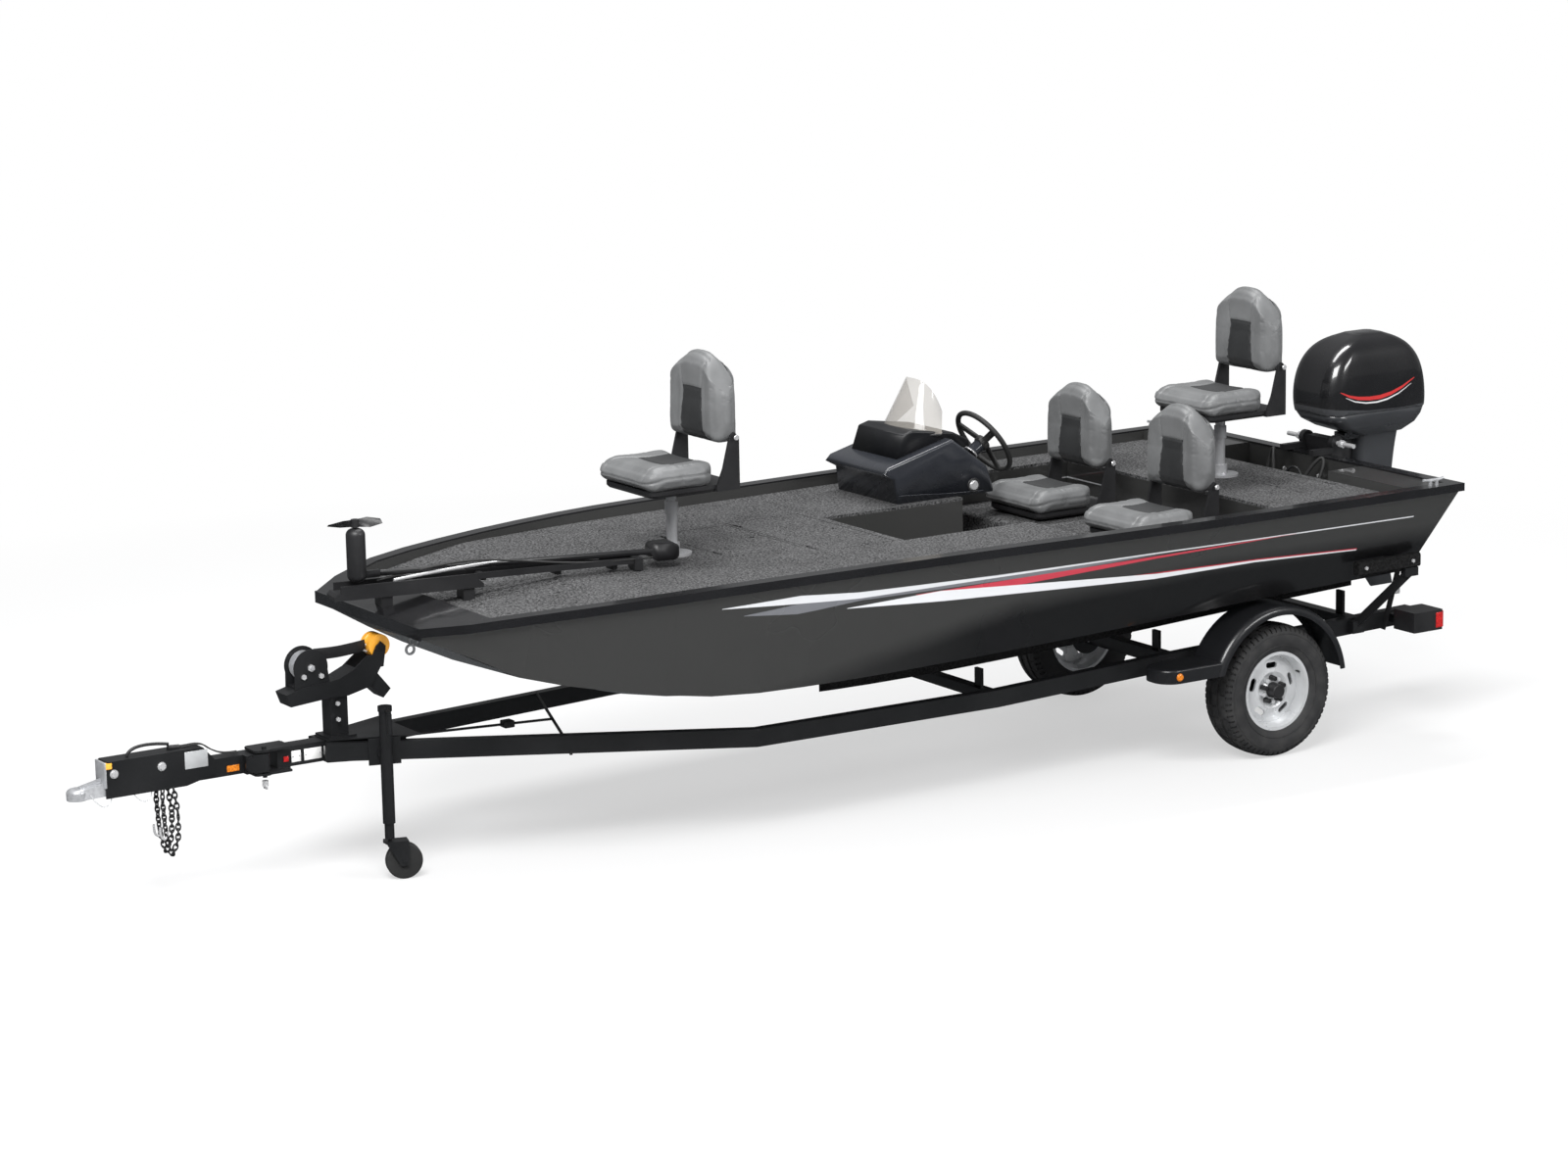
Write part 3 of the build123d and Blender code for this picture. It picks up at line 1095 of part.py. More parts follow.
def clamp_bracket():
    """Clamp brackets over the transom, with the tilt tube between them."""
    top = sheer(HULL_LENGTH) + SHEER_CAP
    foot = WELL_FLOOR
    outer = CLAMP_IN + CLAMP_T
    bracket = None
    for side in (-1, 1):
        x0, x1 = sorted((side * CLAMP_IN, side * outer))
        arm = profile_yz([(transom_y(top) + 4, top + 1), (MOTOR_TILT_Y - 20, MOTOR_TILT_Z + 24),
                          (MOTOR_TILT_Y + 30, MOTOR_TILT_Z - 18), (MOTOR_TILT_Y + 34, top - 90),
                          (transom_y(foot) + 62, foot), (transom_y(foot) + 22, foot)], x0, x1)
        arm += rod((x0, MOTOR_TILT_Y, MOTOR_TILT_Z), (x1, MOTOR_TILT_Y, MOTOR_TILT_Z), TILT_EYE_R)
        hook = block(x0, x1, HULL_LENGTH - TRANSOM_T - 60, HULL_LENGTH + 30, top + 1, top + 31)
        bracket = arm + hook if bracket is None else bracket + arm + hook
    bracket += rod((-outer, MOTOR_TILT_Y, MOTOR_TILT_Z), (outer, MOTOR_TILT_Y, MOTOR_TILT_Z), TILT_TUBE_R)
    return bracket


def swivel_bracket():
    """Swivel bracket that tilts on the tube and carries the steering tube."""
    low, high = SWIVEL_LOW, SWIVEL_HIGH
    front, top = transom_y(MOTOR_TILT_Z - 40) + 20, MOTOR_TILT_Z + 20
    back = MOTOR_STEER_Y - 40
    half = CLAMP_IN - 10
    yoke = profile_yz([(MOTOR_TILT_Y - 28, top), (MOTOR_TILT_Y + 34, top), (back, high - 20), (back, low + 120),
                       (front + 40, low + 90), (front, MOTOR_TILT_Z - 40)], -half, half)
    web = profile_yz([(MOTOR_TILT_Y + 20, high), (MOTOR_STEER_Y, high), (MOTOR_STEER_Y, low),
                      (MOTOR_STEER_Y - 60, low + 20), (front + 40, low + 120)], -26, 26)
    body = yoke + web + Pos(0, MOTOR_STEER_Y, 0) * block_cylinder(STEER_TUBE_R, low, high)
    body -= rod((-half, MOTOR_TILT_Y, MOTOR_TILT_Z), (half, MOTOR_TILT_Y, MOTOR_TILT_Z), TILT_TUBE_R + PIN_FIT)
    return body - Pos(0, MOTOR_STEER_Y, 0) * block_cylinder(STEER_PIN_R + PIN_FIT, low, SKY)


def motor_cowl():
    """Domed engine cowl with rounded corners."""
    return stacked(COWL_SECTIONS, MOTOR_STEER_Y)


def gear_case():
    """Torpedo of the lower unit with its skeg, turned about the propeller shaft."""
    nose, back = MOTOR_STEER_Y - 6, PROP_Y - 34
    outline = [(nose, 0), (nose + 6, 14), (nose + 34, 32), (nose + 90, GEAR_R), (back - 90, GEAR_R - 2),
               (back, PROP_HUB_R + 2), (back, 0)]
    case = revolve(make_face(Polyline(*[(0, y, r) for y, r in outline], close=True)), Axis.Y)
    case = Pos(0, 0, PROP_Z) * case
    skeg = profile_yz([(nose + 80, PROP_Z), (back - 40, PROP_Z), (back - 8, PROP_Z - SKEG_H),
                       (nose + 190, PROP_Z - SKEG_H)], -6, 6)
    return case + skeg


def motor_leg():
    """Lower cowl, leg and gear case with skeg and plates, with the steering pin."""
    body = ruled([rounded(row, MOTOR_STEER_Y) for row in TRAY_SECTIONS])
    body += stacked(LEG_SECTIONS, MOTOR_STEER_Y) + stacked(STRUT_SECTIONS, MOTOR_STEER_Y) + gear_case()
    front, back, plate_z = MOTOR_STEER_Y + 20, MOTOR_STEER_Y + 352, LEG_SECTIONS[-1][0]
    plate = plan([(-PLATE_HALF * 0.4, front), (PLATE_HALF * 0.4, front), (PLATE_HALF, front + 110),
                  (PLATE_HALF, back), (-PLATE_HALF, back), (-PLATE_HALF, front + 110)], plate_z - 8, plate_z + 2)
    body += fillet(plate.edges().filter_by(Axis.Z).group_by(Axis.Y)[-1], 30)
    for z in (SWIVEL_LOW - 28, SWIVEL_HIGH + 24):
        body += block(-40, 40, MOTOR_STEER_Y - 30, MOTOR_STEER_Y + 80, z - 16, z + 16)
    body += Pos(0, MOTOR_STEER_Y, 0) * block_cylinder(STEER_PIN_R, SWIVEL_LOW - 35, SWIVEL_HIGH + 21)
    return body + rod((0, PROP_Y - 60, PROP_Z), (0, PROP_Y + 60, PROP_Z), PROP_SHAFT_R)


def propeller():
    """Three-bladed propeller with twisted blades on its hub."""
    hub = rod((0, PROP_Y - 30, PROP_Z), (0, PROP_Y + 44, PROP_Z), PROP_HUB_R)
    prop = fillet(hub.edges().sort_by(Axis.Y)[-1], 6)
    for turn in (0, 120, 240):
        prop += Pos(0, PROP_Y + 4, PROP_Z) * Rot(0, turn, 0) * blade(PROP_BLADE, PROP_PITCH)
    return prop - rod((0, PROP_Y - 100, PROP_Z), (0, PROP_Y + 100, PROP_Z), PROP_SHAFT_R + PIN_FIT)


# Electric bow motor, in its own frame: y aft along the mount, z up


BOW_FRAME = Pos(BOW_MOTOR_X, 0, BOW_MOTOR_Z) * Rot(0, 0, -BOW_MOTOR_YAW)


def bow_mount():
    """Mount plate and the two arms of the bow motor."""
    mount = block(-60, 60, -150, 520, 0, 30)
    mount = chamfer(mount.edges().filter_by(Axis.X).group_by(Axis.Z)[-1], 14)
    mount += block(-60, -48, -120, 500, 30, 62)
    mount += block(48, 60, -120, 500, 30, 62)
    for x in (-52, 52):
        mount += bar((x, 480, 50), (x * 0.6, 1240, 44), 16, 26)
    mount += block(-46, 46, 1225, 1262, 0, 54)
    for y in (60, 430):
        mount += block(-50, 50, y, y + 50, -90, 2)
    return BOW_FRAME * mount


def bow_shaft():
    """Shaft of the bow motor, its head and its bracket."""
    shaft = rod((0, 72, 96), (0, 1330, 70), 14)
    head = block(-55, 55, 1310, 1430, 34, 108)
    head = fillet(head.edges().filter_by(Axis.X), 24)
    return BOW_FRAME * (shaft + head)


def bow_pod():
    """Torpedo-shaped motor pod, standing on its tail."""
    low, high = 66, 300
    pod = Pos(0, -30, (low + high) / 2) * Cylinder(42, high - low)
    pod = fillet(pod.edges(), 30)
    pod += bar((0, -30, 96), (0, 70, 96), 30, 30)
    pod += Pos(0, -30, high + 16) * Cylinder(7, 40)
    return BOW_FRAME * pod


def bow_prop():
    """Two-bladed propeller on the pod's end."""
    prop = rod((0, -17, 0), (0, 17, 0), 18)
    for turn in (0, 180):
        prop += Rot(0, turn, 0) * blade(BOW_BLADE, BOW_PROP_PITCH)
    prop -= rod((0, -60, 0), (0, 60, 0), 7 + PIN_FIT)
    return BOW_FRAME * (Pos(0, -30, 322) * Rot(90, 0, 0) * prop)


def cockpit_seat_base(x):
    """Low plinth between the seat box and a cockpit seat."""
    return block(x - 150, x + 150, COCKPIT_SEAT_Y - 140, COCKPIT_SEAT_Y + 120, SEAT_BOX_TOP,
                 SEAT_BOX_TOP + PLINTH_T)


def joined(*shapes):
    """Solids of several shapes in one node; those that touch are fused."""
    whole = shapes[0]
    for shape in shapes[1:]:
        whole = whole + shape
    return whole


def apart(*shapes):
    """Solids that don't touch, kept in one node."""
    return Compound(children=[solid for shape in shapes for solid in shape.solids()])


def seat_at(shape, place):
    """A seat's piece at its place."""
    return Pos(*place) * shape


PEDESTAL_SEATS = {"front": (PEDESTAL_X, FRONT_PEDESTAL_Y, PEDESTAL_TOP),
                  "rear": (PEDESTAL_X, REAR_PEDESTAL_Y, PEDESTAL_TOP)}

COCKPIT_SEATS = {"port": (COCKPIT_SEAT_X, COCKPIT_SEAT_Y, SEAT_BOX_TOP + PLINTH_T),
                 "starboard": (-COCKPIT_SEAT_X, COCKPIT_SEAT_Y, SEAT_BOX_TOP + PLINTH_T)}


def build_nodes():
    """All pieces, by the name of their node."""
    winch_shaft_hole = rod((-SEAT_HALF, WINCH_Y, WINCH_Z), (SEAT_HALF, WINCH_Y, WINCH_Z), WINCH_SHAFT_R + PIN_FIT)
    pans = [joined(seat_at(seat_pan(), place), cockpit_seat_base(place[0])) for place in COCKPIT_SEATS.values()]
    cushions = [seat_at(seat_cushion(), place) for place in COCKPIT_SEATS.values()]
    nodes = {
        **hull_sections(),
        "gunwale_cap": joined(gunwale_rails(), nose_cap(), transom_cap()),
        "deck_fittings": deck_fittings(),
        "front_deck": apart(front_deck(), side_deck()),
        "rear_deck": rear_deck(),
        "cockpit_floor": joined(cockpit_floor(), seat_box()),
        "console": joined(console(), steering_column()),
        "dash_hood": dash_hood(),
        "windshield": windshield(),
        "steering_wheel": steering_wheel(),
        "trailer_frame": joined(trailer_frame(), fender_brackets(), bunk_brackets(), stern_arms(), jack_bracket()),
        "swing_tongue": joined(swing_tongue(), brake_actuator()),
        "coupler": coupler(),
        "axle": apart(axle(), leaf_springs()),
        "fenders": fender(),
        "bunks": bunks(),
        "winch_post": joined(winch_post(), winch_frame()) - winch_shaft_hole,
        "bow_roller": bow_roller(),
        "winch_drum": joined(winch_drum(), winch_crank()),
        "jack_tube": jack_tube(),
        "jack_yoke": jack_yoke(),
        "jack_wheel": jack_wheel(),
        "tail_lights": tail_lights(),
        "guide_pads": guide_pads(),
        "clamp_bracket": clamp_bracket(),
        "swivel_bracket": swivel_bracket(),
        "motor_cowl": motor_cowl(),
        "motor_leg": motor_leg() - motor_cowl(),
        "propeller": propeller(),
        "bow_mount": bow_mount(),
        "bow_shaft": apart(bow_shaft(), bow_pod()),
        "bow_prop": bow_prop(),
        "pedestals": apart(pedestal(FRONT_PEDESTAL_Y), pedestal(REAR_PEDESTAL_Y)),
        "cockpit_seat_pans": apart(*pans),
        "cockpit_seat_cushions": apart(*cushions),
    }
    for seat in ("hull_bow", "gunwale_cap", "front_deck"):
        nodes["bow_mount"] -= nodes[seat]
    for seat in ("hull_bow", "hull_stern"):
        nodes["deck_fittings"] -= nodes[seat]
    for lid in LIDS:
        nodes[lid[0]] = hatch_lid(lid)
    for name, side in (("port", 1), ("starboard", -1)):
        nodes[f"tyre_{name}"] = wheel_at(tyre(), side)
        nodes[f"wheel_{name}"] = wheel_at(wheel_rim(), side)
    for name, place in PEDESTAL_SEATS.items():
        nodes[f"{name}_seat_pan"] = seat_at(swivel_bore(seat_pan()), place)
        nodes[f"{name}_seat_cushion"] = seat_at(seat_cushion(), place)
    for name, place in (PEDESTAL_SEATS | COCKPIT_SEATS).items():
        nodes[f"{name}_seat_back"] = seat_at(seat_back_shell(), place)
        nodes[f"{name}_seat_pad"] = seat_at(seat_back_pad(), place)
    return nodes


NODES = {name: apart(shape) for name, shape in build_nodes().items()}

BOXES = [shape.bounding_box() for shape in NODES.values()]

LOW_Y, HIGH_Y = min(box.min.Y for box in BOXES), max(box.max.Y for box in BOXES)

MID_Y = round((LOW_Y + HIGH_Y) / 2, 1)

os.makedirs("parts", exist_ok=True)

for node_name, shape in NODES.items():
    export_step(Pos(0, -MID_Y, 0) * shape, f"parts/{node_name}.step")

print("nodes", len(NODES), "middle y", MID_Y, "from", LOW_Y, "to", HIGH_Y)
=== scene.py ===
import json
import logging
from dataclasses import dataclass, field
from enum import Enum
from math import atan2, copysign, cos, hypot, pi, radians, sin, sqrt
from typing import Callable, Sequence

import bpy
from mathutils import Matrix, Vector

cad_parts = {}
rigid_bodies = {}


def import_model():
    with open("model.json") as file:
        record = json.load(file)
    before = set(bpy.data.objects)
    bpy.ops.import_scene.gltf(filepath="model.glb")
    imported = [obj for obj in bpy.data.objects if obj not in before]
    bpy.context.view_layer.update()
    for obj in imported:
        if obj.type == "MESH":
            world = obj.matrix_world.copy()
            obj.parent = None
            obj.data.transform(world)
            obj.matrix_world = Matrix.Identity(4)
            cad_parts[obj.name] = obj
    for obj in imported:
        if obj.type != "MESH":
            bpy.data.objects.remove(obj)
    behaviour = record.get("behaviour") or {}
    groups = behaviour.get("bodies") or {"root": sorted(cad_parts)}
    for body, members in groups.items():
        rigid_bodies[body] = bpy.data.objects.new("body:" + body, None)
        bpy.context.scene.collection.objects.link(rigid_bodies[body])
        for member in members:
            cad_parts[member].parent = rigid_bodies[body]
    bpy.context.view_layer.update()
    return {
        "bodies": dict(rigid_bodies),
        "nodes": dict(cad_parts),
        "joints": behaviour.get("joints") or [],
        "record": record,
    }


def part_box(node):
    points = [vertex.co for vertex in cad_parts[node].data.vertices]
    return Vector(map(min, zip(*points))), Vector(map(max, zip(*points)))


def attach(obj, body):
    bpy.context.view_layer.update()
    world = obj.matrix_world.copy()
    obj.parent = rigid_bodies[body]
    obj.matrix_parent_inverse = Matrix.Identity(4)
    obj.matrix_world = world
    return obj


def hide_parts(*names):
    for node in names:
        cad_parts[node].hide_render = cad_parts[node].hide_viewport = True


log = logging.getLogger("bass_boat")

Point = tuple[float, float, float]
Colour = tuple[float, float, float]

NOSE_Y = -2.2215


# Shader maths

class Value:
    """A number in a shader, with arithmetic that adds Math nodes."""

    def __init__(self, shop: "Shader", socket: bpy.types.NodeSocket) -> None:
        """Wraps one socket.

        Args:
            shop: the shader that the socket belongs to.
            socket: an output socket.
        """
        self.shop = shop
        self.socket = socket

    def math(self, operation: str, *others: "Value | float", first: "Value | float | None" = None) -> "Value":
        """Adds one Math node.

        Args:
            operation: the node's operation.
            others: the inputs after this value.
            first: what takes the first input in place of this value, which then comes second.

        Returns:
            The result.
        """
        inputs = [self, *others] if first is None else [first, self]
        node = self.shop.node("ShaderNodeMath", {"operation": operation}, dict(enumerate(inputs)))
        return Value(self.shop, node.outputs[0])

    def __add__(self, other: "Value | float") -> "Value":
        """Sum."""
        return self.math("ADD", other)

    __radd__ = __add__

    def __sub__(self, other: "Value | float") -> "Value":
        """Difference."""
        return self.math("SUBTRACT", other)

    def __rsub__(self, other: "Value | float") -> "Value":
        """Reflected difference."""
        return self.math("SUBTRACT", first=other)

    def __mul__(self, other: "Value | float") -> "Value":
        """Product."""
        return self.math("MULTIPLY", other)

    __rmul__ = __mul__

    def absolute(self) -> "Value":
        """Size without sign."""
        return self.math("ABSOLUTE")

    def above(self, edge: float, soft: float = 0.0) -> "Value":
        """1 above an edge and 0 below it.

        Args:
            edge: where the change is centred.
            soft: half the width of the change.

        Returns:
            A mask from 0 to 1.
        """
        return self.span(edge - max(soft, 1e-5), edge + max(soft, 1e-5), 0.0, 1.0)

    def span(self, low: float, high: float, start: float, end: float) -> "Value":
        """Maps low..high to start..end, clamped.

        Args:
            low: value that gives start.
            high: value that gives end.
            start: result at low.
            end: result at high.

        Returns:
            The mapped value.
        """
        node = self.shop.node("ShaderNodeMapRange", {"clamp": True},
                              {"Value": self, "From Min": low, "From Max": high, "To Min": start,
                               "To Max": end})
        return Value(self.shop, node.outputs[0])


class Shader:
    """One material's node tree, built in code."""

    def __init__(self, name: str) -> None:
        """Starts an empty material with its Principled shader.

        Args:
            name: the material's name.
        """
        self.material = bpy.data.materials.new(name)
        self.material.use_nodes = True
        self.tree = self.material.node_tree
        self.tree.nodes.clear()
        self.output = self.tree.nodes.new("ShaderNodeOutputMaterial")
        self.surface = self.tree.nodes.new("ShaderNodeBsdfPrincipled")
        self.tree.links.new(self.surface.outputs[0], self.output.inputs["Surface"])

    def node(self, kind: str, settings: dict, sockets: dict) -> bpy.types.Node:
        """Adds a node.

        Args:
            kind: the node's type.
            settings: its properties, set first; "stops" fills a colour ramp.
            sockets: values or links, by input name or number.

        Returns:
            The node.
        """
        node = self.tree.nodes.new(kind)
        for key, value in settings.items():
            if key == "stops":
                ramp = node.color_ramp
                while len(ramp.elements) > 1:
                    ramp.elements.remove(ramp.elements[-1])
                for number, (place, colour) in enumerate(value):
                    stop = ramp.elements[0] if number == 0 else ramp.elements.new(place)
                    stop.position = place
                    stop.color = (*colour, 1.0)
            else:
                setattr(node, key, value)
        for key, value in sockets.items():
            self.feed(node.inputs[key], value)
        return node

    def feed(self, socket: bpy.types.NodeSocket, value: object) -> None:
        """Links or sets one input.

        Args:
            socket: the input.
            value: a Value, an output socket, a colour or a number.
        """
        if isinstance(value, Value):
            self.tree.links.new(value.socket, socket)
        elif isinstance(value, bpy.types.NodeSocket):
            self.tree.links.new(value, socket)
        elif isinstance(value, tuple) and socket.type == "RGBA":
            socket.default_value = (*value[:3], 1.0)
        else:
            socket.default_value = value

    def place(self, scale: Point = (1, 1, 1), turn: Point = (0, 0, 0), shift: Point = (0, 0, 0)
              ) -> bpy.types.NodeSocket:
        """Object coordinates through a Mapping node.

        Args:
            scale: scale of each axis.
            turn: rotation in radians.
            shift: location.

        Returns:
            The vector socket.
        """
        source = self.node("ShaderNodeTexCoord", {}, {}).outputs["Object"]
        return self.node("ShaderNodeMapping", {}, {"Vector": source, "Scale": scale, "Rotation": turn,
                                                   "Location": shift}).outputs[0]

    def axes(self) -> tuple[Value, Value, Value]:
        """Object coordinates as three values."""
        source = self.node("ShaderNodeTexCoord", {}, {}).outputs["Object"]
        parts = self.node("ShaderNodeSeparateXYZ", {}, {0: source}).outputs
        return Value(self, parts[0]), Value(self, parts[1]), Value(self, parts[2])

    def noise(self, scale: float, detail: float = 3.0, rough: float = 0.5,
              stretch: Point = (1, 1, 1)) -> Value:
        """Noise on Object coordinates.

        Args:
            scale: the noise's scale.
            detail: its detail.
            rough: its roughness.
            stretch: scale of each axis.

        Returns:
            A value round 0.5.
        """
        node = self.node("ShaderNodeTexNoise", {}, {"Vector": self.place(stretch), "Scale": scale,
                                                    "Detail": detail, "Roughness": rough})
        return Value(self, node.outputs[0])

    def cells(self, scale: float, stretch: Point = (1, 1, 1), feature: str = "F1") -> Value:
        """Voronoi distance on Object coordinates.

        Args:
            scale: the pattern's scale.
            stretch: scale of each axis.
            feature: the node's feature.

        Returns:
            The distance.
        """
        node = self.node("ShaderNodeTexVoronoi", {"feature": feature},
                         {"Vector": self.place(stretch), "Scale": scale})
        return Value(self, node.outputs["Distance"])

    def mix(self, share: "Value | float", first: object, second: object) -> bpy.types.NodeSocket:
        """Mixes two colours.

        Args:
            share: 0 gives the first and 1 the second.
            first: colour or socket.
            second: colour or socket.

        Returns:
            The colour socket.
        """
        node = self.tree.nodes.new("ShaderNodeMix")
        node.data_type = "RGBA"
        colour_inputs = [socket for socket in node.inputs if socket.type == "RGBA"]
        self.feed(node.inputs[0], share)
        self.feed(colour_inputs[0], first)
        self.feed(colour_inputs[1], second)
        return next(socket for socket in node.outputs if socket.type == "RGBA")

    def bump(self, height: Value, distance: float, strength: float = 1.0) -> None:
        """Feeds a Bump node into the shader's normal.

        Args:
            height: the height, about 0 to 1.
            distance: how tall 1 is, in metres.
            strength: share of the effect.
        """
        node = self.node("ShaderNodeBump", {}, {"Height": height, "Distance": distance, "Strength": strength})
        self.feed(self.surface.inputs["Normal"], node.outputs[0])

    def set(self, **values: object) -> None:
        """Sets the Principled shader's sockets, underscores for spaces.

        Args:
            values: socket names with values.
        """
        for key, value in values.items():
            self.feed(self.surface.inputs[key.replace("_", " ")], value)


# Finishes

@dataclass(frozen=True)
class Paint:
    """Sprayed or powder-coated metal."""

    name: str
    colour: Colour
    rough: float = 0.28
    metal: float = 0.0
    coat: float = 0.6
    flake: float = 0.0
    grain: float = 0.0

    def build(self) -> bpy.types.Material:
        """Makes the material."""
        shader = Shader(self.name)
        cloud = shader.noise(3.5, 4.0)
        fine = shader.noise(420.0, 2.0)
        dark = tuple(c * 0.82 for c in self.colour)
        light = tuple(min(1.0, c * 1.18 + self.flake * 0.02) for c in self.colour)
        shader.set(Base_Color=shader.mix(cloud.span(0.3, 0.7, 0.0, 1.0), dark, light), Metallic=self.metal,
                   Coat_Weight=self.coat, Coat_Roughness=0.08, IOR=1.5,
                   Roughness=cloud.span(0.25, 0.75, self.rough * 0.8, self.rough * 1.25))
        if self.grain:
            shader.bump(fine, 0.0004, self.grain)
        return shader.material


@dataclass(frozen=True)
class Steel:
    """Zinc-coated or brushed bare metal."""

    name: str
    colour: Colour = (0.62, 0.63, 0.65)
    rough: float = 0.34
    spangle: float = 60.0

    def build(self) -> bpy.types.Material:
        """Makes the material."""
        shader = Shader(self.name)
        flakes = shader.cells(self.spangle)
        cloud = shader.noise(9.0, 5.0)
        dull = tuple(c * 0.72 for c in self.colour)
        shader.set(Base_Color=shader.mix(flakes * 0.6 + cloud * 0.4, dull, self.colour), Metallic=0.55,
                   Roughness=(flakes * 0.25 + cloud * 0.5).span(0.1, 0.7, self.rough * 0.75,
                                                                self.rough * 1.5))
        shader.bump(cloud, 0.0006, 0.25)
        return shader.material


@dataclass(frozen=True)
class Moulding:
    """Moulded plastic or rubber with a fine grain."""

    name: str
    colour: Colour
    rough: float = 0.45
    grain: float = 0.35
    grain_scale: float = 700.0
    coat: float = 0.0

    def build(self) -> bpy.types.Material:
        """Makes the material."""
        shader = Shader(self.name)
        pebble = shader.cells(self.grain_scale)
        cloud = shader.noise(6.0, 4.0)
        light = tuple(min(1.0, c * 1.25 + 0.004) for c in self.colour)
        shader.set(Base_Color=shader.mix(cloud.span(0.3, 0.75, 0.0, 1.0), self.colour, light),
                   Roughness=cloud.span(0.2, 0.8, self.rough * 0.85, self.rough * 1.2), Coat_Weight=self.coat,
                   Coat_Roughness=0.1)
        shader.bump(pebble, 0.0003, self.grain)
        return shader.material


@dataclass(frozen=True)
class Carpet:
    """Marine carpet of mixed grey tufts."""

    name: str
    dark: Colour = (0.012, 0.012, 0.0125)
    light: Colour = (0.150, 0.150, 0.152)
    tuft_scale: float = 150.0

    def build(self) -> bpy.types.Material:
        """Makes the material."""
        shader = Shader(self.name)
        tufts = shader.cells(self.tuft_scale)
        speck = shader.noise(self.tuft_scale * 0.62, 2.0, 0.7)
        cloud = shader.noise(5.0, 4.0)
        heather = (speck * 1.6 + tufts * 0.4 + cloud * 0.25).span(0.85, 1.45, 0.0, 1.0)
        shader.set(Base_Color=shader.mix(heather, self.dark, self.light), Roughness=0.95,
                   Specular_IOR_Level=0.1)
        shader.bump(tufts * 0.6 + speck * 0.6, 0.0035, 0.8)
        return shader.material


@dataclass(frozen=True)
class Vinyl:
    """Seat vinyl with a soft leather grain."""

    name: str
    colour: Colour
    rough: float = 0.42
    grain_scale: float = 330.0

    def build(self) -> bpy.types.Material:
        """Makes the material."""
        shader = Shader(self.name)
        grain = shader.cells(self.grain_scale, feature="SMOOTH_F1")
        cloud = shader.noise(7.0, 5.0)
        dark = tuple(c * 0.84 for c in self.colour)
        light = tuple(min(1.0, c * 1.12) for c in self.colour)
        shader.set(Base_Color=shader.mix(cloud.span(0.3, 0.7, 0.0, 1.0), dark, light),
                   Roughness=cloud.span(0.2, 0.8, self.rough * 0.85, self.rough * 1.25),
                   Sheen_Weight=0.05)
        shader.bump(grain, 0.0006, 0.45)
        return shader.material


@dataclass(frozen=True)
class Tyre:
    """Tyre rubber, dusty on its flanks."""

    name: str
    colour: Colour = (0.020, 0.020, 0.021)

    def build(self) -> bpy.types.Material:
        """Makes the material."""
        shader = Shader(self.name)
        dust = shader.noise(14.0, 6.0, 0.65)
        fine = shader.noise(300.0, 3.0)
        shader.set(Base_Color=shader.mix(dust.span(0.45, 0.85, 0.0, 0.6), self.colour, (0.060, 0.058, 0.055)),
                   Roughness=dust.span(0.2, 0.8, 0.55, 0.85))
        shader.bump(fine, 0.0005, 0.3)
        return shader.material


@dataclass(frozen=True)
class Clear:
    """Clear sheet, slightly warm, that keeps the background's light."""

    name: str
    tint: Colour = (0.40, 0.375, 0.34)
    share: float = 0.30

    def build(self) -> bpy.types.Material:
        """Makes the material."""
        shader = Shader(self.name)
        haze = shader.noise(5.0, 3.0)
        shader.set(Base_Color=shader.mix(haze, self.tint, tuple(c * 0.93 for c in self.tint)), Roughness=0.06,
                   Coat_Weight=0.4, Alpha=haze.span(0.2, 0.8, self.share, self.share + 0.08))
        return shader.material


@dataclass(frozen=True)
class Lamp:
    """Lamp lens with fine prisms behind its face and a faint painted glow, though no lamp is lit."""

    name: str
    colour: Colour
    # Strength of a faint painted glow: the lens is not lit.
    glow: float = 0.15

    def build(self) -> bpy.types.Material:
        """Makes the material."""
        shader = Shader(self.name)
        prisms = shader.cells(150.0, feature="F1")
        # Emission gives the lens or reflector a painted glow, though no lamp is lit.
        shader.set(Base_Color=shader.mix(prisms.span(0.0, 0.7, 0.0, 1.0), self.colour,
                                         tuple(c * 0.45 for c in self.colour)),
                   Roughness=0.12, Coat_Weight=1.0, Emission_Color=self.colour, Emission_Strength=self.glow)
        shader.bump(prisms, 0.001, 0.5)
        return shader.material


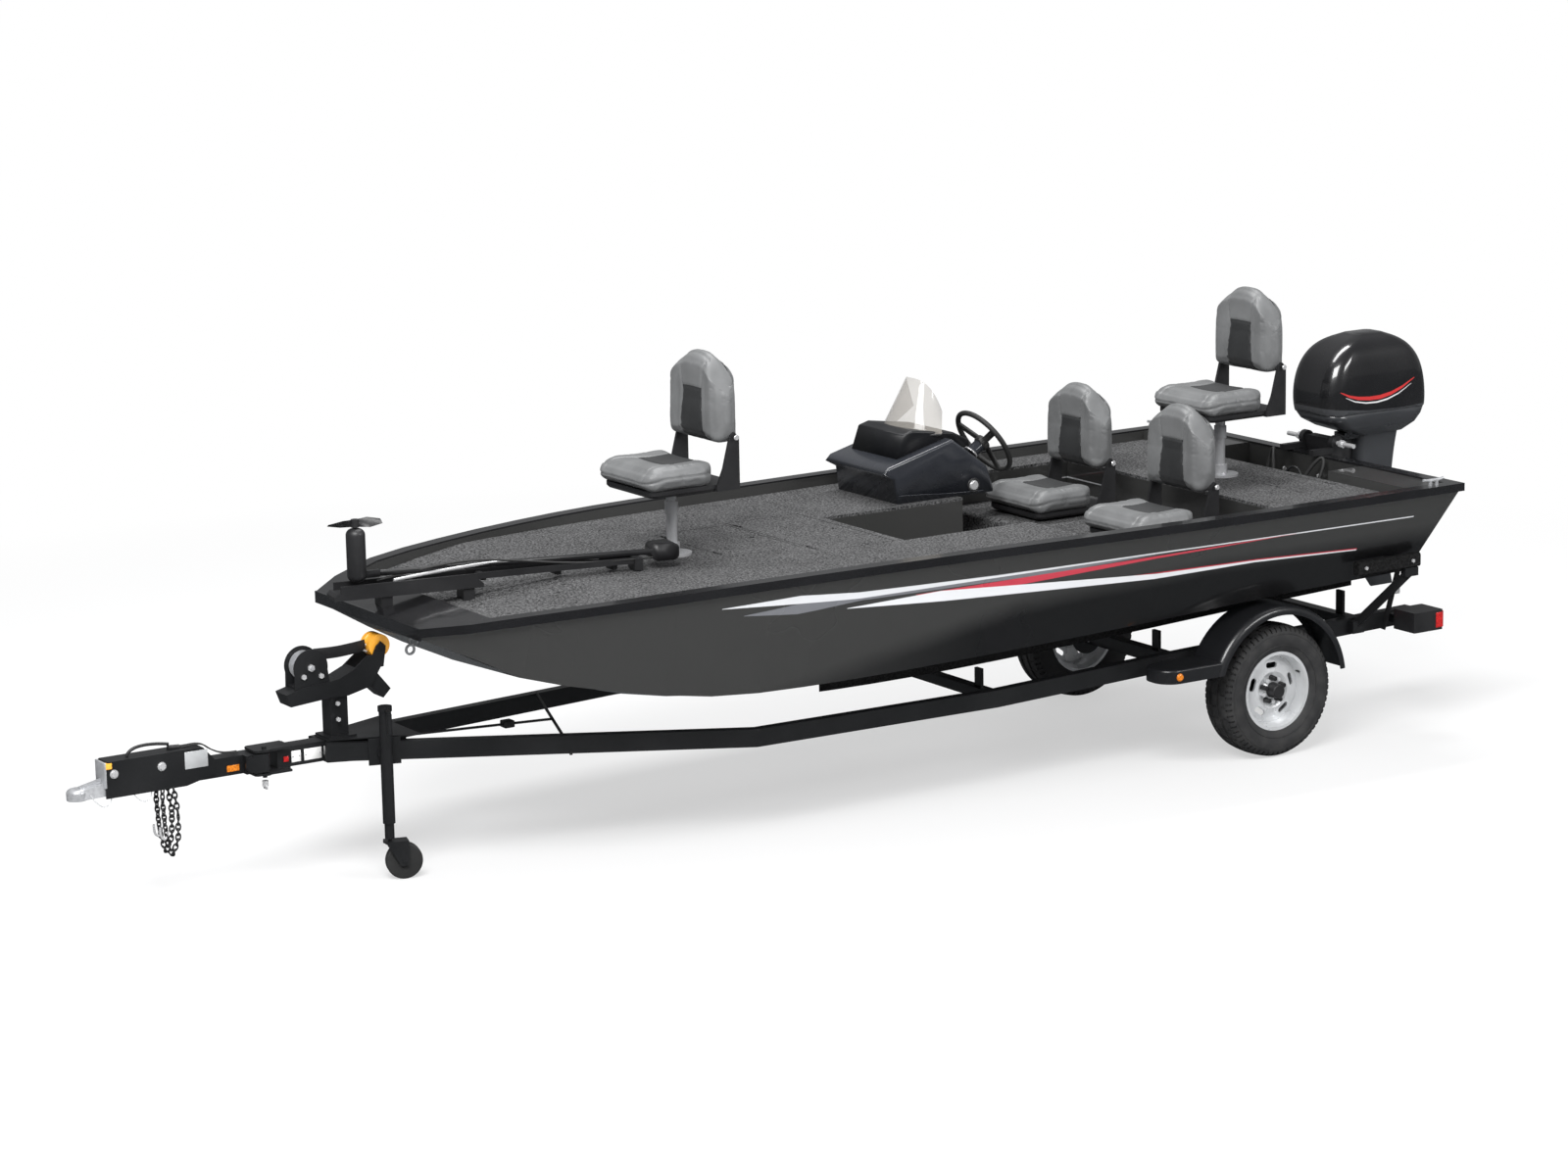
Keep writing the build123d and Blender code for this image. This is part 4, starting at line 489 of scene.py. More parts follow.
@dataclass(frozen=True)
class HullPaint:
    """Metallic charcoal hull paint with the side stripes and a painted dark reflection low and aft, all
    placed in metres from the nose.
    """

    name: str
    nose_y: float
    body: Colour = (0.038, 0.038, 0.037)
    # Near black, painted low and aft on the hull sides as a painted dark reflection.
    painted_dark_reflection: Colour = (0.005, 0.005, 0.0055)

    def line(self, y: Value, points: Sequence[tuple[float, float]]) -> Value:
        """Height of a broken line over distance aft.

        Args:
            y: distance aft of the nose.
            points: distance and height of each corner.

        Returns:
            The line's height.
        """
        total: Value | float = points[0][1]
        for (y0, z0), (y1, z1) in zip(points, points[1:]):
            total = y.span(y0, y1, 0.0, z1 - z0) + total
        return total

    def band(self, y: Value, z: Value, upper: Sequence[tuple[float, float]],
             lower: Sequence[tuple[float, float]]) -> Value:
        """Mask between two broken lines.

        Args:
            y: distance aft of the nose.
            z: height.
            upper: corners of the upper line.
            lower: corners of the lower line.

        Returns:
            A mask from 0 to 1.
        """
        soft = 0.0012
        inside = (self.line(y, upper) - z).above(0.0, soft) * (z - self.line(y, lower)).above(0.0, soft)
        return inside * y.above(upper[0][0], 0.001) * (1.0 - y.above(upper[-1][0], 0.001))

    def build(self) -> bpy.types.Material:
        """Makes the material."""
        shader = Shader(self.name)
        x, row_y, z = shader.axes()
        y = row_y - self.nose_y
        cloud = shader.noise(1.2, 3.0)
        flake = shader.noise(900.0, 1.0)
        # Painted dark reflection: below this line, and more so aft, the shade mask blends the paint towards
        # near black.
        reach = self.line(y, [(1.2, 0.62), (2.0, 0.78), (2.8, 0.95), (3.9, 1.00), (5.2, 0.99)])
        shade = (reach + cloud * 0.05 - z).span(-0.03, 0.08, 0.0, 1.0) * y.span(1.3, 2.6, 0.25, 1.0)
        base = shader.mix(shade, tuple(self.body), self.painted_dark_reflection)
        base = shader.mix(flake.span(0.5, 0.8, 0.0, 0.14), base, (0.11, 0.112, 0.115))
        silver = self.band(y, z,
                           [(1.23, 1.139), (1.60, 1.156), (1.90, 1.134), (2.62, 1.119), (3.49, 1.117),
                            (5.02, 1.102)],
                           [(1.23, 1.137), (1.77, 1.110), (1.90, 1.104), (2.62, 1.108), (3.49, 1.111),
                            (5.02, 1.096)])
        slate = self.band(y, z,
                          [(1.34, 1.094), (1.60, 1.118), (1.78, 1.124), (1.92, 1.130), (2.90, 1.119),
                           (3.6, 1.112)],
                          [(1.34, 1.092), (1.60, 1.070), (1.70, 1.077), (1.92, 1.094), (2.90, 1.088),
                           (3.6, 1.109)])
        white = self.band(y, z, [(1.85, 1.065), (2.33, 1.083), (3.53, 1.004), (4.11, 0.992), (4.74, 0.962)],
                          [(1.85, 1.063), (2.36, 1.030), (3.53, 0.978), (4.11, 0.982), (4.74, 0.957)])
        red = self.band(y, z, [(2.20, 1.082), (2.65, 1.088), (3.50, 1.098), (4.30, 1.106)],
                        [(2.20, 1.080), (2.65, 1.050), (3.50, 1.086), (4.30, 1.105)])
        fine_red = self.band(y, z, [(3.40, 1.013), (3.60, 1.009), (4.11, 0.998), (4.74, 0.968)],
                             [(3.40, 1.012), (3.60, 1.003), (4.11, 0.992), (4.74, 0.962)])
        side = x.absolute().above(0.5, 0.02)
        paint = shader.mix(slate * side, base, (0.16, 0.165, 0.18))
        paint = shader.mix(silver * side, paint, (0.66, 0.67, 0.69))
        paint = shader.mix(red * side, paint, (0.52, 0.045, 0.07))
        paint = shader.mix(fine_red * side, paint, (0.48, 0.03, 0.05))
        paint = shader.mix(white * side, paint, (0.72, 0.73, 0.75))
        shader.set(Base_Color=paint, Coat_Weight=0.8, Coat_Roughness=0.03, IOR=1.4,
                   Roughness=cloud.span(0.3, 0.7, 0.26, 0.34))
        return shader.material


class Finish(Enum):
    """Every plain finish of the boat and its trailer."""

    GUNWALE = Paint("gunwale_black_gloss", (0.008, 0.008, 0.009), rough=0.22, coat=0.7)
    FRAME = Paint("trailer_black_powder_coat", (0.009, 0.0095, 0.0105), rough=0.42, coat=0.15, grain=0.3)
    MUDGUARD = Paint("mudguard_black_enamel", (0.011, 0.0115, 0.013), rough=0.34, coat=0.35)
    MOTOR_GREY = Paint("outboard_grey_enamel", (0.036, 0.038, 0.042), rough=0.30, coat=0.6)
    WHEEL = Paint("wheel_silver_enamel", (0.56, 0.57, 0.58), rough=0.26, metal=0.25, coat=0.6)
    ZINC = Steel("zinc_plate")
    CHROME = Steel("polished_steel", (0.82, 0.82, 0.83), rough=0.22, spangle=200.0)
    ANODISED = Steel("anodised_post", (0.60, 0.605, 0.62), rough=0.30, spangle=300.0)
    CARPET = Carpet("heather_deck_carpet")
    BUNK = Carpet("black_bunk_carpet", (0.005, 0.005, 0.005), (0.016, 0.016, 0.0165))
    CONSOLE = Moulding("console_slate_gelcoat", (0.026, 0.0285, 0.035), rough=0.26, grain=0.08, coat=0.6)
    HOOD = Moulding("hood_charcoal", (0.009, 0.0095, 0.011), rough=0.38, grain=0.3)
    BLACK = Moulding("black_moulding", (0.012, 0.012, 0.013), rough=0.40)
    RUBBER = Moulding("black_rubber", (0.014, 0.014, 0.014), rough=0.60)
    ORANGE = Moulding("orange_roller", (0.80, 0.36, 0.03), rough=0.38, grain=0.15)
    TYRE = Tyre("tyre_rubber")
    SEAT = Vinyl("seat_grey_vinyl", (0.150, 0.153, 0.155))
    SEAT_PANEL = Vinyl("seat_charcoal_vinyl", (0.020, 0.021, 0.022), rough=0.55, grain_scale=500.0)
    GLASS = Clear("windshield_sheet")
    RED_LENS = Lamp("red_lens", (0.60, 0.02, 0.02))
    AMBER_LENS = Lamp("amber_lens", (0.85, 0.25, 0.02))
    WHITE_PLATE = Paint("white_enamel", (0.75, 0.75, 0.74), rough=0.35, coat=0.4)


class Finishes:
    """Makes each finish once, when it is first used."""

    def __init__(self) -> None:
        """Starts with none made."""
        self.made: dict[str, bpy.types.Material] = {}

    def get(self, finish: "Finish | HullPaint") -> bpy.types.Material:
        """The material of a finish.

        Args:
            finish: the finish.

        Returns:
            Its material.
        """
        recipe = finish.value if isinstance(finish, Finish) else finish
        if recipe.name not in self.made:
            self.made[recipe.name] = recipe.build()
        return self.made[recipe.name]


FINISHES = Finishes()


def paint(piece: bpy.types.Object, *finishes: "Finish | HullPaint") -> None:
    """Gives a piece its materials, in slot order.

    Args:
        piece: the object.
        finishes: its finishes.
    """
    piece.data.materials.clear()
    for finish in finishes:
        piece.data.materials.append(FINISHES.get(finish))


# Camera, light and floor

@dataclass(frozen=True)
class Camera:
    """Where the photograph was taken from, in metres and degrees."""

    azimuth: float = 57.5
    elevation: float = 11.9
    roll: float = -1.1
    aim: Point = (0.0, -0.102, 1.0)
    distance: float = 18.8
    lens: float = 94.5

    def build(self) -> bpy.types.Object:
        """Adds the camera.

        Returns:
            The camera object.
        """
        turn, tilt = radians(self.azimuth), radians(self.elevation)
        look = Vector((-sin(turn) * cos(tilt), cos(turn) * cos(tilt), -sin(tilt)))
        spot = Vector(self.aim) - look * self.distance
        bpy.ops.object.camera_add(location=spot)
        camera = bpy.context.object
        turned = look.to_track_quat("-Z", "Y").to_matrix().to_4x4() @ Matrix.Rotation(radians(self.roll), 4,
                                                                                      "Z")
        camera.matrix_world = Matrix.Translation(spot) @ turned
        camera.data.lens = self.lens
        camera.data.sensor_width = 36.0
        camera.data.clip_end = 200.0
        bpy.context.scene.camera = camera
        return camera


@dataclass(frozen=True)
class Softbox:
    """A large area lamp."""

    name: str
    place: Point
    target: Point
    size: tuple[float, float]
    power: float
    shine: float

    def build(self) -> bpy.types.Object:
        """Adds the lamp.

        Returns:
            The lamp object.
        """
        bpy.ops.object.light_add(type="AREA", location=self.place)
        lamp = bpy.context.object
        lamp.name = self.name
        lamp.data.shape = "RECTANGLE"
        lamp.data.size, lamp.data.size_y = self.size
        lamp.data.energy = self.power
        lamp.data.specular_factor = self.shine
        aim = Vector(self.target) - Vector(self.place)
        lamp.rotation_euler = aim.to_track_quat("-Z", "Y").to_euler()
        return lamp


@dataclass
class Studio:
    """Pale floor, white background and soft light."""

    camera: Camera = field(default_factory=Camera)
    lamps: tuple[Softbox, ...] = (
        Softbox("key_softbox", (6.0, -6.0, 9.0), (0.0, 0.0, 0.8), (6.0, 5.0), 1500.0, 0.12),
        Softbox("side_softbox", (10.0, 6.0, 6.5), (0.0, 1.5, 0.9), (6.0, 2.0), 520.0, 0.55),
        Softbox("top_softbox", (-2.0, 1.5, 9.0), (0.0, 1.5, 1.0), (7.0, 2.0), 560.0, 0.35),
    )

    def build(self) -> None:
        """Adds the camera, lamps, floor and world, and sets the picture's size and view."""
        scene = bpy.context.scene
        self.camera.build()
        [lamp.build() for lamp in self.lamps]
        self.floor()
        self.world()
        scene.render.resolution_x, scene.render.resolution_y = 1600, 1184
        scene.view_settings.view_transform = "Standard"
        scene.view_settings.look = "None"

    def floor(self) -> None:
        """A white floor that keeps a faint shadow and gives little light back."""
        bpy.ops.mesh.primitive_plane_add(size=240.0, location=(0.0, 0.0, 0.0))
        floor = bpy.context.object
        floor.name = "studio_floor"
        shader = Shader("studio_floor")
        x, y, z = shader.axes()
        far = (x * x + y * y).span(9.0, 64.0, 0.0, 1.0)
        shader.set(Base_Color=(0.80, 0.80, 0.80), Roughness=0.9, Specular_IOR_Level=0.0)
        glow = shader.node("ShaderNodeEmission", {}, {"Color": (1.0, 1.0, 1.0), "Strength": 1.0})
        rays = shader.node("ShaderNodeLightPath", {}, {}).outputs
        share = Value(shader, rays["Is Camera Ray"]) * far.span(0.0, 1.0, 0.55, 1.0)
        seen = shader.node("ShaderNodeMixShader", {},
                           {0: share, 1: shader.surface.outputs[0], 2: glow.outputs[0]})
        dim = shader.node("ShaderNodeEmission", {}, {"Color": (0.9, 0.95, 1.0), "Strength": 0.10})
        both = shader.node("ShaderNodeMixShader", {},
                           {0: rays["Is Glossy Ray"], 1: seen.outputs[0], 2: dim.outputs[0]})
        shader.tree.links.new(both.outputs[0], shader.output.inputs["Surface"])
        floor.data.materials.append(shader.material)

    def world(self) -> None:
        """White behind the object and a soft grey dome in reflections."""
        world = bpy.context.scene.world or bpy.data.worlds.new("studio")
        bpy.context.scene.world = world
        world.use_nodes = True
        nodes, links = world.node_tree.nodes, world.node_tree.links
        nodes.clear()
        output = nodes.new("ShaderNodeOutputWorld")
        path = nodes.new("ShaderNodeLightPath")
        shade = None
        for ray, strength in ((None, 0.50), ("Is Glossy Ray", 0.20), ("Is Camera Ray", 1.0)):
            sky = nodes.new("ShaderNodeBackground")
            sky.inputs["Color"].default_value = (0.97, 0.98, 1.0, 1.0) if ray != "Is Camera Ray" else (1, 1,
                                                                                                       1, 1)
            sky.inputs["Strength"].default_value = strength
            if shade is None:
                shade = sky.outputs[0]
                continue
            both = nodes.new("ShaderNodeMixShader")
            links.new(path.outputs[ray], both.inputs[0])
            links.new(shade, both.inputs[1])
            links.new(sky.outputs[0], both.inputs[2])
            shade = both.outputs[0]
        links.new(shade, output.inputs["Surface"])


# Modelling

def deselect() -> None:
    """Leaves nothing selected and no object in edit mode."""
    if bpy.context.object and bpy.context.object.mode != "OBJECT":
        bpy.ops.object.mode_set(mode="OBJECT")
    bpy.ops.object.select_all(action="DESELECT")


MM = 1000  # millimetres in a metre


def at(x: float, y: float, z: float) -> Vector:
    """A point given in millimetres from the nose, port and floor.

    Args:
        x: to port of the centreline.
        y: aft of the nose.
        z: above the floor.

    Returns:
        The point in the scene's metres.
    """
    return Vector((x / MM, y / MM + NOSE_Y, z / MM))


class Piece:
    """A new object, modelled with Blender's own operators; sizes are in millimetres."""

    def __init__(self, name: str) -> None:
        """Takes the active object, names it and sets its place into its mesh.

        Args:
            name: the object's name.
        """
        self.obj = bpy.context.object
        self.obj.name = name
        self.bake()

    def bake(self) -> None:
        """Sets the object's place, turn and scale into its mesh."""
        self.take()
        bpy.ops.object.transform_apply(location=True, rotation=True, scale=True)

    def take(self) -> None:
        """Makes this the only selected, active object."""
        deselect()
        self.obj.select_set(True)
        bpy.context.view_layer.objects.active = self.obj

    @classmethod
    def box(cls, name: str, low: Point, high: Point) -> "Piece":
        """A box between two corners.

        Args:
            name: the object's name.
            low: lowest corner.
            high: highest corner.

        Returns:
            The piece.
        """
        deselect()
        middle = [(a + b) / 2 for a, b in zip(low, high)]
        bpy.ops.mesh.primitive_cube_add(size=1, location=at(*middle),
                                        scale=[abs(b - a) / MM for a, b in zip(low, high)])
        return cls(name)

    @classmethod
    def rod(cls, name: str, start: Point, end: Point, radius: float, sides: int = 24,
            tip: float | None = None) -> "Piece":
        """A round bar or a cone between two points.

        Args:
            name: the object's name.
            start: middle of the first end.
            end: middle of the other end.
            radius: its radius.
            sides: number of sides.
            tip: radius at the other end, where it differs.

        Returns:
            The piece.
        """
        deselect()
        a, b = at(*start), at(*end)
        bpy.ops.mesh.primitive_cone_add(vertices=sides, radius1=radius / MM,
                                        radius2=(radius if tip is None else tip) / MM,
                                        depth=(b - a).length, location=(a + b) / 2,
                                        rotation=(b - a).to_track_quat("Z", "Y").to_euler())
        return cls(name).smooth(35)

    @classmethod
    def ring(cls, name: str, centre: Point, axis: Point, radius: float, bar: float,
             sides: int = 32) -> "Piece":
        """A ring of round bar.

        Args:
            name: the object's name.
            centre: its centre.
            axis: direction of its axis.
            radius: to the middle of the bar.
            bar: radius of the bar.
            sides: segments round the ring.

        Returns:
            The piece.
        """
        deselect()
        bpy.ops.mesh.primitive_torus_add(major_radius=radius / MM, minor_radius=bar / MM,
                                         major_segments=sides,
                                         minor_segments=10, location=at(*centre),
                                         rotation=Vector(axis).to_track_quat("Z", "Y").to_euler())
        return cls(name).smooth(60)

    @classmethod
    def tube(cls, name: str, points: Sequence[Point], radius: float, flat: float = 0.0) -> "Piece":
        """A bar, wire or strap that follows points on a smooth curve.

        Args:
            name: the object's name.
            points: its route.
            radius: half its thickness.
            flat: half the width of a strap, which lies across the boat.

        Returns:
            The piece.
        """
        piece = cls.route(name, points)
        if flat:
            piece.obj.data.extrude = flat / MM
            piece.obj.data.bevel_depth = radius / MM
            piece.obj.data.bevel_resolution = 1
        else:
            piece.obj.data.bevel_depth = radius / MM
            piece.obj.data.bevel_resolution = 3
        piece.take()
        bpy.ops.object.convert(target="MESH")
        piece.obj = bpy.context.object
        return piece.smooth(50)

    @classmethod
    def route(cls, name: str, points: Sequence[Point]) -> "Piece":
        """A bare smooth curve along points.

        Args:
            name: the object's name.
            points: its control points.

        Returns:
            The piece, still a curve.
        """
        deselect()
        line = bpy.data.curves.new(name, "CURVE")
        line.dimensions = "3D"
        spline = line.splines.new("NURBS")
        spline.points.add(len(points) - 1)
        for point, place in zip(spline.points, points):
            point.co = (*at(*place), 1.0)
        spline.order_u = 3
        spline.use_endpoint_u = True
        spline.resolution_u = 6
        obj = bpy.data.objects.new(name, line)
        bpy.context.collection.objects.link(obj)
        bpy.context.view_layer.objects.active = obj
        return cls(name)

    @classmethod
    def copy_of(cls, name: str, node: bpy.types.Object) -> "Piece":
        """A merged copy of a CAD node, to model further.

        Args:
            name: the object's name.
            node: the CAD object.

        Returns:
            The piece.
        """
        deselect()
        obj = bpy.data.objects.new(name, node.data.copy())
        bpy.context.collection.objects.link(obj)
        bpy.context.view_layer.objects.active = obj
        piece = cls(name)
        return piece.edit(lambda: bpy.ops.mesh.remove_doubles(threshold=0.00002))

    def edit(self, *steps: Callable[[], object]) -> "Piece":
        """Runs edit-mode operators on the whole mesh, or on what a step selects.

        Args:
            steps: the operators.

        Returns:
            This piece.
        """
        self.take()
        bpy.ops.object.mode_set(mode="EDIT")
        bpy.ops.mesh.select_mode(type="FACE")
        bpy.ops.mesh.select_all(action="SELECT")
        for step in steps:
            step()
        bpy.ops.object.mode_set(mode="OBJECT")
        return self

    def choose(self, test: Callable[[bpy.types.MeshPolygon], bool]) -> "Piece":
        """Selects the faces that pass a test, and leaves edit mode.

        Args:
            test: says whether a face is chosen.

        Returns:
            This piece.
        """
        self.edit(lambda: bpy.ops.mesh.select_all(action="DESELECT"))
        for face in self.obj.data.polygons:
            face.select = test(face)
        return self

    def on_chosen(self, *steps: Callable[[], object]) -> "Piece":
        """Runs edit-mode operators on the chosen faces.

        Args:
            steps: the operators.

        Returns:
            This piece.
        """
        self.take()
        bpy.ops.object.mode_set(mode="EDIT")
        for step in steps:
            step()
        bpy.ops.object.mode_set(mode="OBJECT")
        return self

    def modify(self, kind: str, **settings: object) -> "Piece":
        """Adds a modifier and applies it.

        Args:
            kind: the modifier's type.
            settings: its properties.

        Returns:
            This piece.
        """
        self.take()
        modifier = self.obj.modifiers.new(kind.lower(), kind)
        for key, value in settings.items():
            setattr(modifier, key, value)
        bpy.ops.object.modifier_apply(modifier=modifier.name)
        return self

    def bevel(self, width: float, segments: int = 2, angle: float = 30) -> "Piece":
        """Rounds the edges that are sharper than an angle.

        Args:
            width: the bevel's width.
            segments: steps across it.
            angle: in degrees.

        Returns:
            This piece.
        """
        return self.modify("BEVEL", width=width / MM, segments=segments, limit_method="ANGLE",
                           angle_limit=radians(angle)).smooth(angle + 15)

    def smooth(self, angle: float = 35) -> "Piece":
        """Shades smooth below an angle in degrees.

        Args:
            angle: edges that are sharper stay sharp.

        Returns:
            This piece.
        """
        self.take()
        bpy.ops.object.shade_smooth_by_angle(angle=radians(angle))
        return self

    def join(self, *others: "Piece") -> "Piece":
        """Takes other pieces into this one.

        Args:
            others: the pieces to take in.

        Returns:
            This piece.
        """
        self.take()
        for other in others:
            other.obj.select_set(True)
        bpy.ops.object.join()
        return self

    def dress(self, body: str, *finishes: "Finish | HullPaint") -> "Piece":
        """Gives the piece its materials and the body that it rides on.

        Args:
            body: the CAD body.
            finishes: its finishes, in slot order.

        Returns:
            This piece.
        """
        paint(self.obj, *finishes)
        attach(self.obj, body)
        return self

    def for_nodes(self, *nodes: str) -> "Piece":
        """Says that this piece stands for CAD nodes.

        Args:
            nodes: their names.

        Returns:
            This piece.
        """
        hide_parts(*nodes)
        return self


ROOT = "boat_on_trailer"


# Seats

@dataclass
class SeatSizes:
    """Sizes of a seat in millimetres, from the middle of the pan's underside."""

    half: float = 238.0
    front: float = 252.0
    back: float = 110.0
    low: float = 31.0
    high: float = 143.0
    back_half: float = 222.0
    pad_front: float = 106.0
    pad_back: float = 236.0
    pad_low: float = 202.0
    pad_high: float = 606.0
    arch: float = 150.0
    swell: float = 7.0
    panel: float = 0.34
    panel_top: float = 0.60
    cushion_panel: float = 0.46  # share of the half width
    cross_seam: float = -95.0
    hollow: float = 17.0
    cushion_seam: float = 7.0
    roll: float = 34.0
    roll_start: float = -150.0
    roll_length: float = 95.0
    bolster: float = 9.0
    lumbar: float = 12.0
    pad_seam: float = 8.0
    hinge_y: float = 200.0
    hinge_z: float = 236.0


CLOTH_FRAMES = 14
CLOTH_PRESSURE = 4.0
VOXEL = 0.006


class Seat:
    """A folding boat seat: cushion and backrest in two vinyls with hinge bolts."""

    def __init__(self, name: str, place: Point, bodies: tuple[str, str],
                 sizes: SeatSizes | None = None) -> None:
        """Takes the seat's place.

        Args:
            name: the seat's name.
            place: middle of the pan's underside.
            bodies: the bodies of the pan and of the backrest.
            sizes: its sizes.
        """
        self.name, self.place, self.bodies = name, place, bodies
        self.sizes = sizes or SeatSizes()

    def spot(self, x: float, y: float, z: float) -> Point:
        """A point from the seat's own place.

        Args:
            x: to port.
            y: aft.
            z: up.

        Returns:
            The point in the boat's millimetres.
        """
        return self.place[0] + x, self.place[1] + y, self.place[2] + z

    def padded(self, name: str, low: Point, high: Point) -> Piece:
        """A rounded, crowned block in the space between two corners.

        Args:
            name: the piece's name.
            low: lowest corner from the seat's place.
            high: highest corner.

        Returns:
            The piece.
        """
        block = Piece.box(name, self.spot(*low), self.spot(*high))
        block.modify("BEVEL", width=0.030, segments=4, limit_method="ANGLE", angle_limit=radians(30))
        block.modify("REMESH", mode="VOXEL", voxel_size=VOXEL)
        return block

    def swell(self, block: Piece, amount: float) -> None:
        """Blows a pad up with cloth pressure, then keeps each point near where it was.

        Args:
            block: the pad.
            amount: how far a point may move, in millimetres.
        """
        start = [vertex.co.copy() for vertex in block.obj.data.vertices]
        block.take()
        cloth = block.obj.modifiers.new("cloth", "CLOTH")
        cloth.settings.use_pressure = True
        cloth.settings.uniform_pressure_force = CLOTH_PRESSURE
        cloth.settings.effector_weights.gravity = 0.0
        cloth.settings.quality = 4
        cloth.collision_settings.use_collision = False
        scene = bpy.context.scene
        for frame in range(1, CLOTH_FRAMES + 1):
            scene.frame_set(frame)
        bpy.ops.object.modifier_apply(modifier=cloth.name)
        scene.frame_set(1)
        for vertex, before in zip(block.obj.data.vertices, start):
            step = vertex.co - before
            limit = amount / MM
            if step.length > limit:
                vertex.co = before + step * (limit / step.length)
        block.modify("SMOOTH", iterations=3, factor=0.5)

    def shape(self, block: Piece, change: Callable[[Vector], Vector]) -> None:
        """Moves every point of a pad by a rule in the seat's own millimetres.

        Args:
            block: the pad.
            change: gives a point's new place.
        """
        base = at(*self.place)
        for vertex in block.obj.data.vertices:
            vertex.co = base + change((vertex.co - base) * MM) / MM

    def cushion_form(self, point: Vector) -> Vector:
        """Rolled front, hollow for the sitter and pulled-in seams of the cushion.

        Args:
            point: a place on the plain cushion, in the seat's own millimetres.

        Returns:
            Its new place.
        """
        size = self.sizes
        up = (point.z - size.low) / (size.high - size.low)
        side = min(1.0, abs(point.x) / size.half)
        hollow = size.hollow * (1 - side * side) * max(0.0, 1 - ((point.y + 60) / 190) ** 2)
        seam = size.cushion_seam * max(0.0, 1 - abs(side - self.cushion_edge(point.y)) / 0.04)
        near = max(0.0, 1 - abs(point.y - size.cross_seam) / 9.0)
        cross = size.cushion_seam * near * (side < size.cushion_panel)
        middle = 5.0 * max(0.0, 1 - abs(up - 0.5) / 0.10)
        new = point.copy()
        if up > 0.55:
            new.z -= (hollow + seam + cross) * min(1.0, (up - 0.55) * 4)
        if point.y < size.roll_start:
            new.z -= size.roll * ((size.roll_start - point.y) / size.roll_length) ** 2 * max(0.0, up)
        new.x -= copysign(1.0, point.x) * middle * (1.0 if side > 0.9 else 0.0)
        if point.y < -size.front + 24:
            new.y -= 10.0 * max(0.0, 1 - ((up - 0.62) / 0.5) ** 2) - middle
        corner = max(0.0, side - 0.72) / 0.28
        if point.y < size.roll_start:
            new.y += 30.0 * corner ** 2 * (size.roll_start - point.y) / size.roll_length
        if point.y > 40:
            new.x *= 1 - 0.14 * (point.y - 40) / 67.0
        return new

    def cushion_edge(self, y: float) -> float:
        """Share of the half width where the cushion's side seam runs.

        Args:
            y: distance aft in the seat's own millimetres.

        Returns:
            The share.
        """
        return self.sizes.cushion_panel + 0.24 * min(1.0, max(0.0, (-40 - y) / 180.0))

    def pad_form(self, point: Vector) -> Vector:
        """Arched top, side bolsters and seams of the backrest.

        Args:
            point: a place on the plain pad, in the seat's own millimetres.

        Returns:
            Its new place.
        """
        size = self.sizes
        up = (point.z - size.pad_low) / (size.pad_high - size.pad_low)
        side = min(1.0, abs(point.x) / size.back_half)
        front = max(0.0, (size.pad_back - point.y) / (size.pad_back - size.pad_front))
        new = point.copy()
        reach = max(0.0, (up - 0.42) / 0.58)
        new.z -= size.arch * side ** 2.6 * reach ** 1.3
        new.x *= 1 - 0.14 * reach ** 2.5 - 0.07 * max(0.0, 0.25 - up) / 0.25
        edge = self.panel_edge(up)
        bolster = size.bolster * max(0.0, 1 - ((side - 0.78) / 0.26) ** 2)
        seam = size.pad_seam * max(0.0, 1 - abs(side - edge) / 0.035)
        if side < edge:
            seam += size.pad_seam * max(0.0, 1 - abs(up - size.panel_top) / 0.014)
        lumbar = size.lumbar * max(0.0, 1 - ((up - 0.22) / 0.26) ** 2) * (1 - side)
        if front > 0.55:
            new.y += (seam + 12.0 - bolster - lumbar) * min(1.0, (front - 0.55) * 5)
        elif front < 0.35 and up > 0.9:
            new.z -= 18.0 * (0.35 - front) / 0.35
        return new

    def panel_edge(self, up: float) -> float:
        """Share of the half width where the middle panel's seam runs.

        Args:
            up: height, as a share of the pad's.

        Returns:
            The share.
        """
        return self.sizes.panel + 0.20 * max(0.0, 0.55 - up) + 0.35 * max(0.0, up - 0.55)

    def panels(self, block: Piece, test: Callable[[Vector], bool]) -> None:
        """Puts the darker vinyl on the faces whose middle passes a test.

        Args:
            block: the pad.
            test: says whether a place, in the seat's own millimetres, is in the panel.
        """
        base = at(*self.place)
        for face in block.obj.data.polygons:
            face.material_index = 1 if test((face.center - base) * MM) else 0

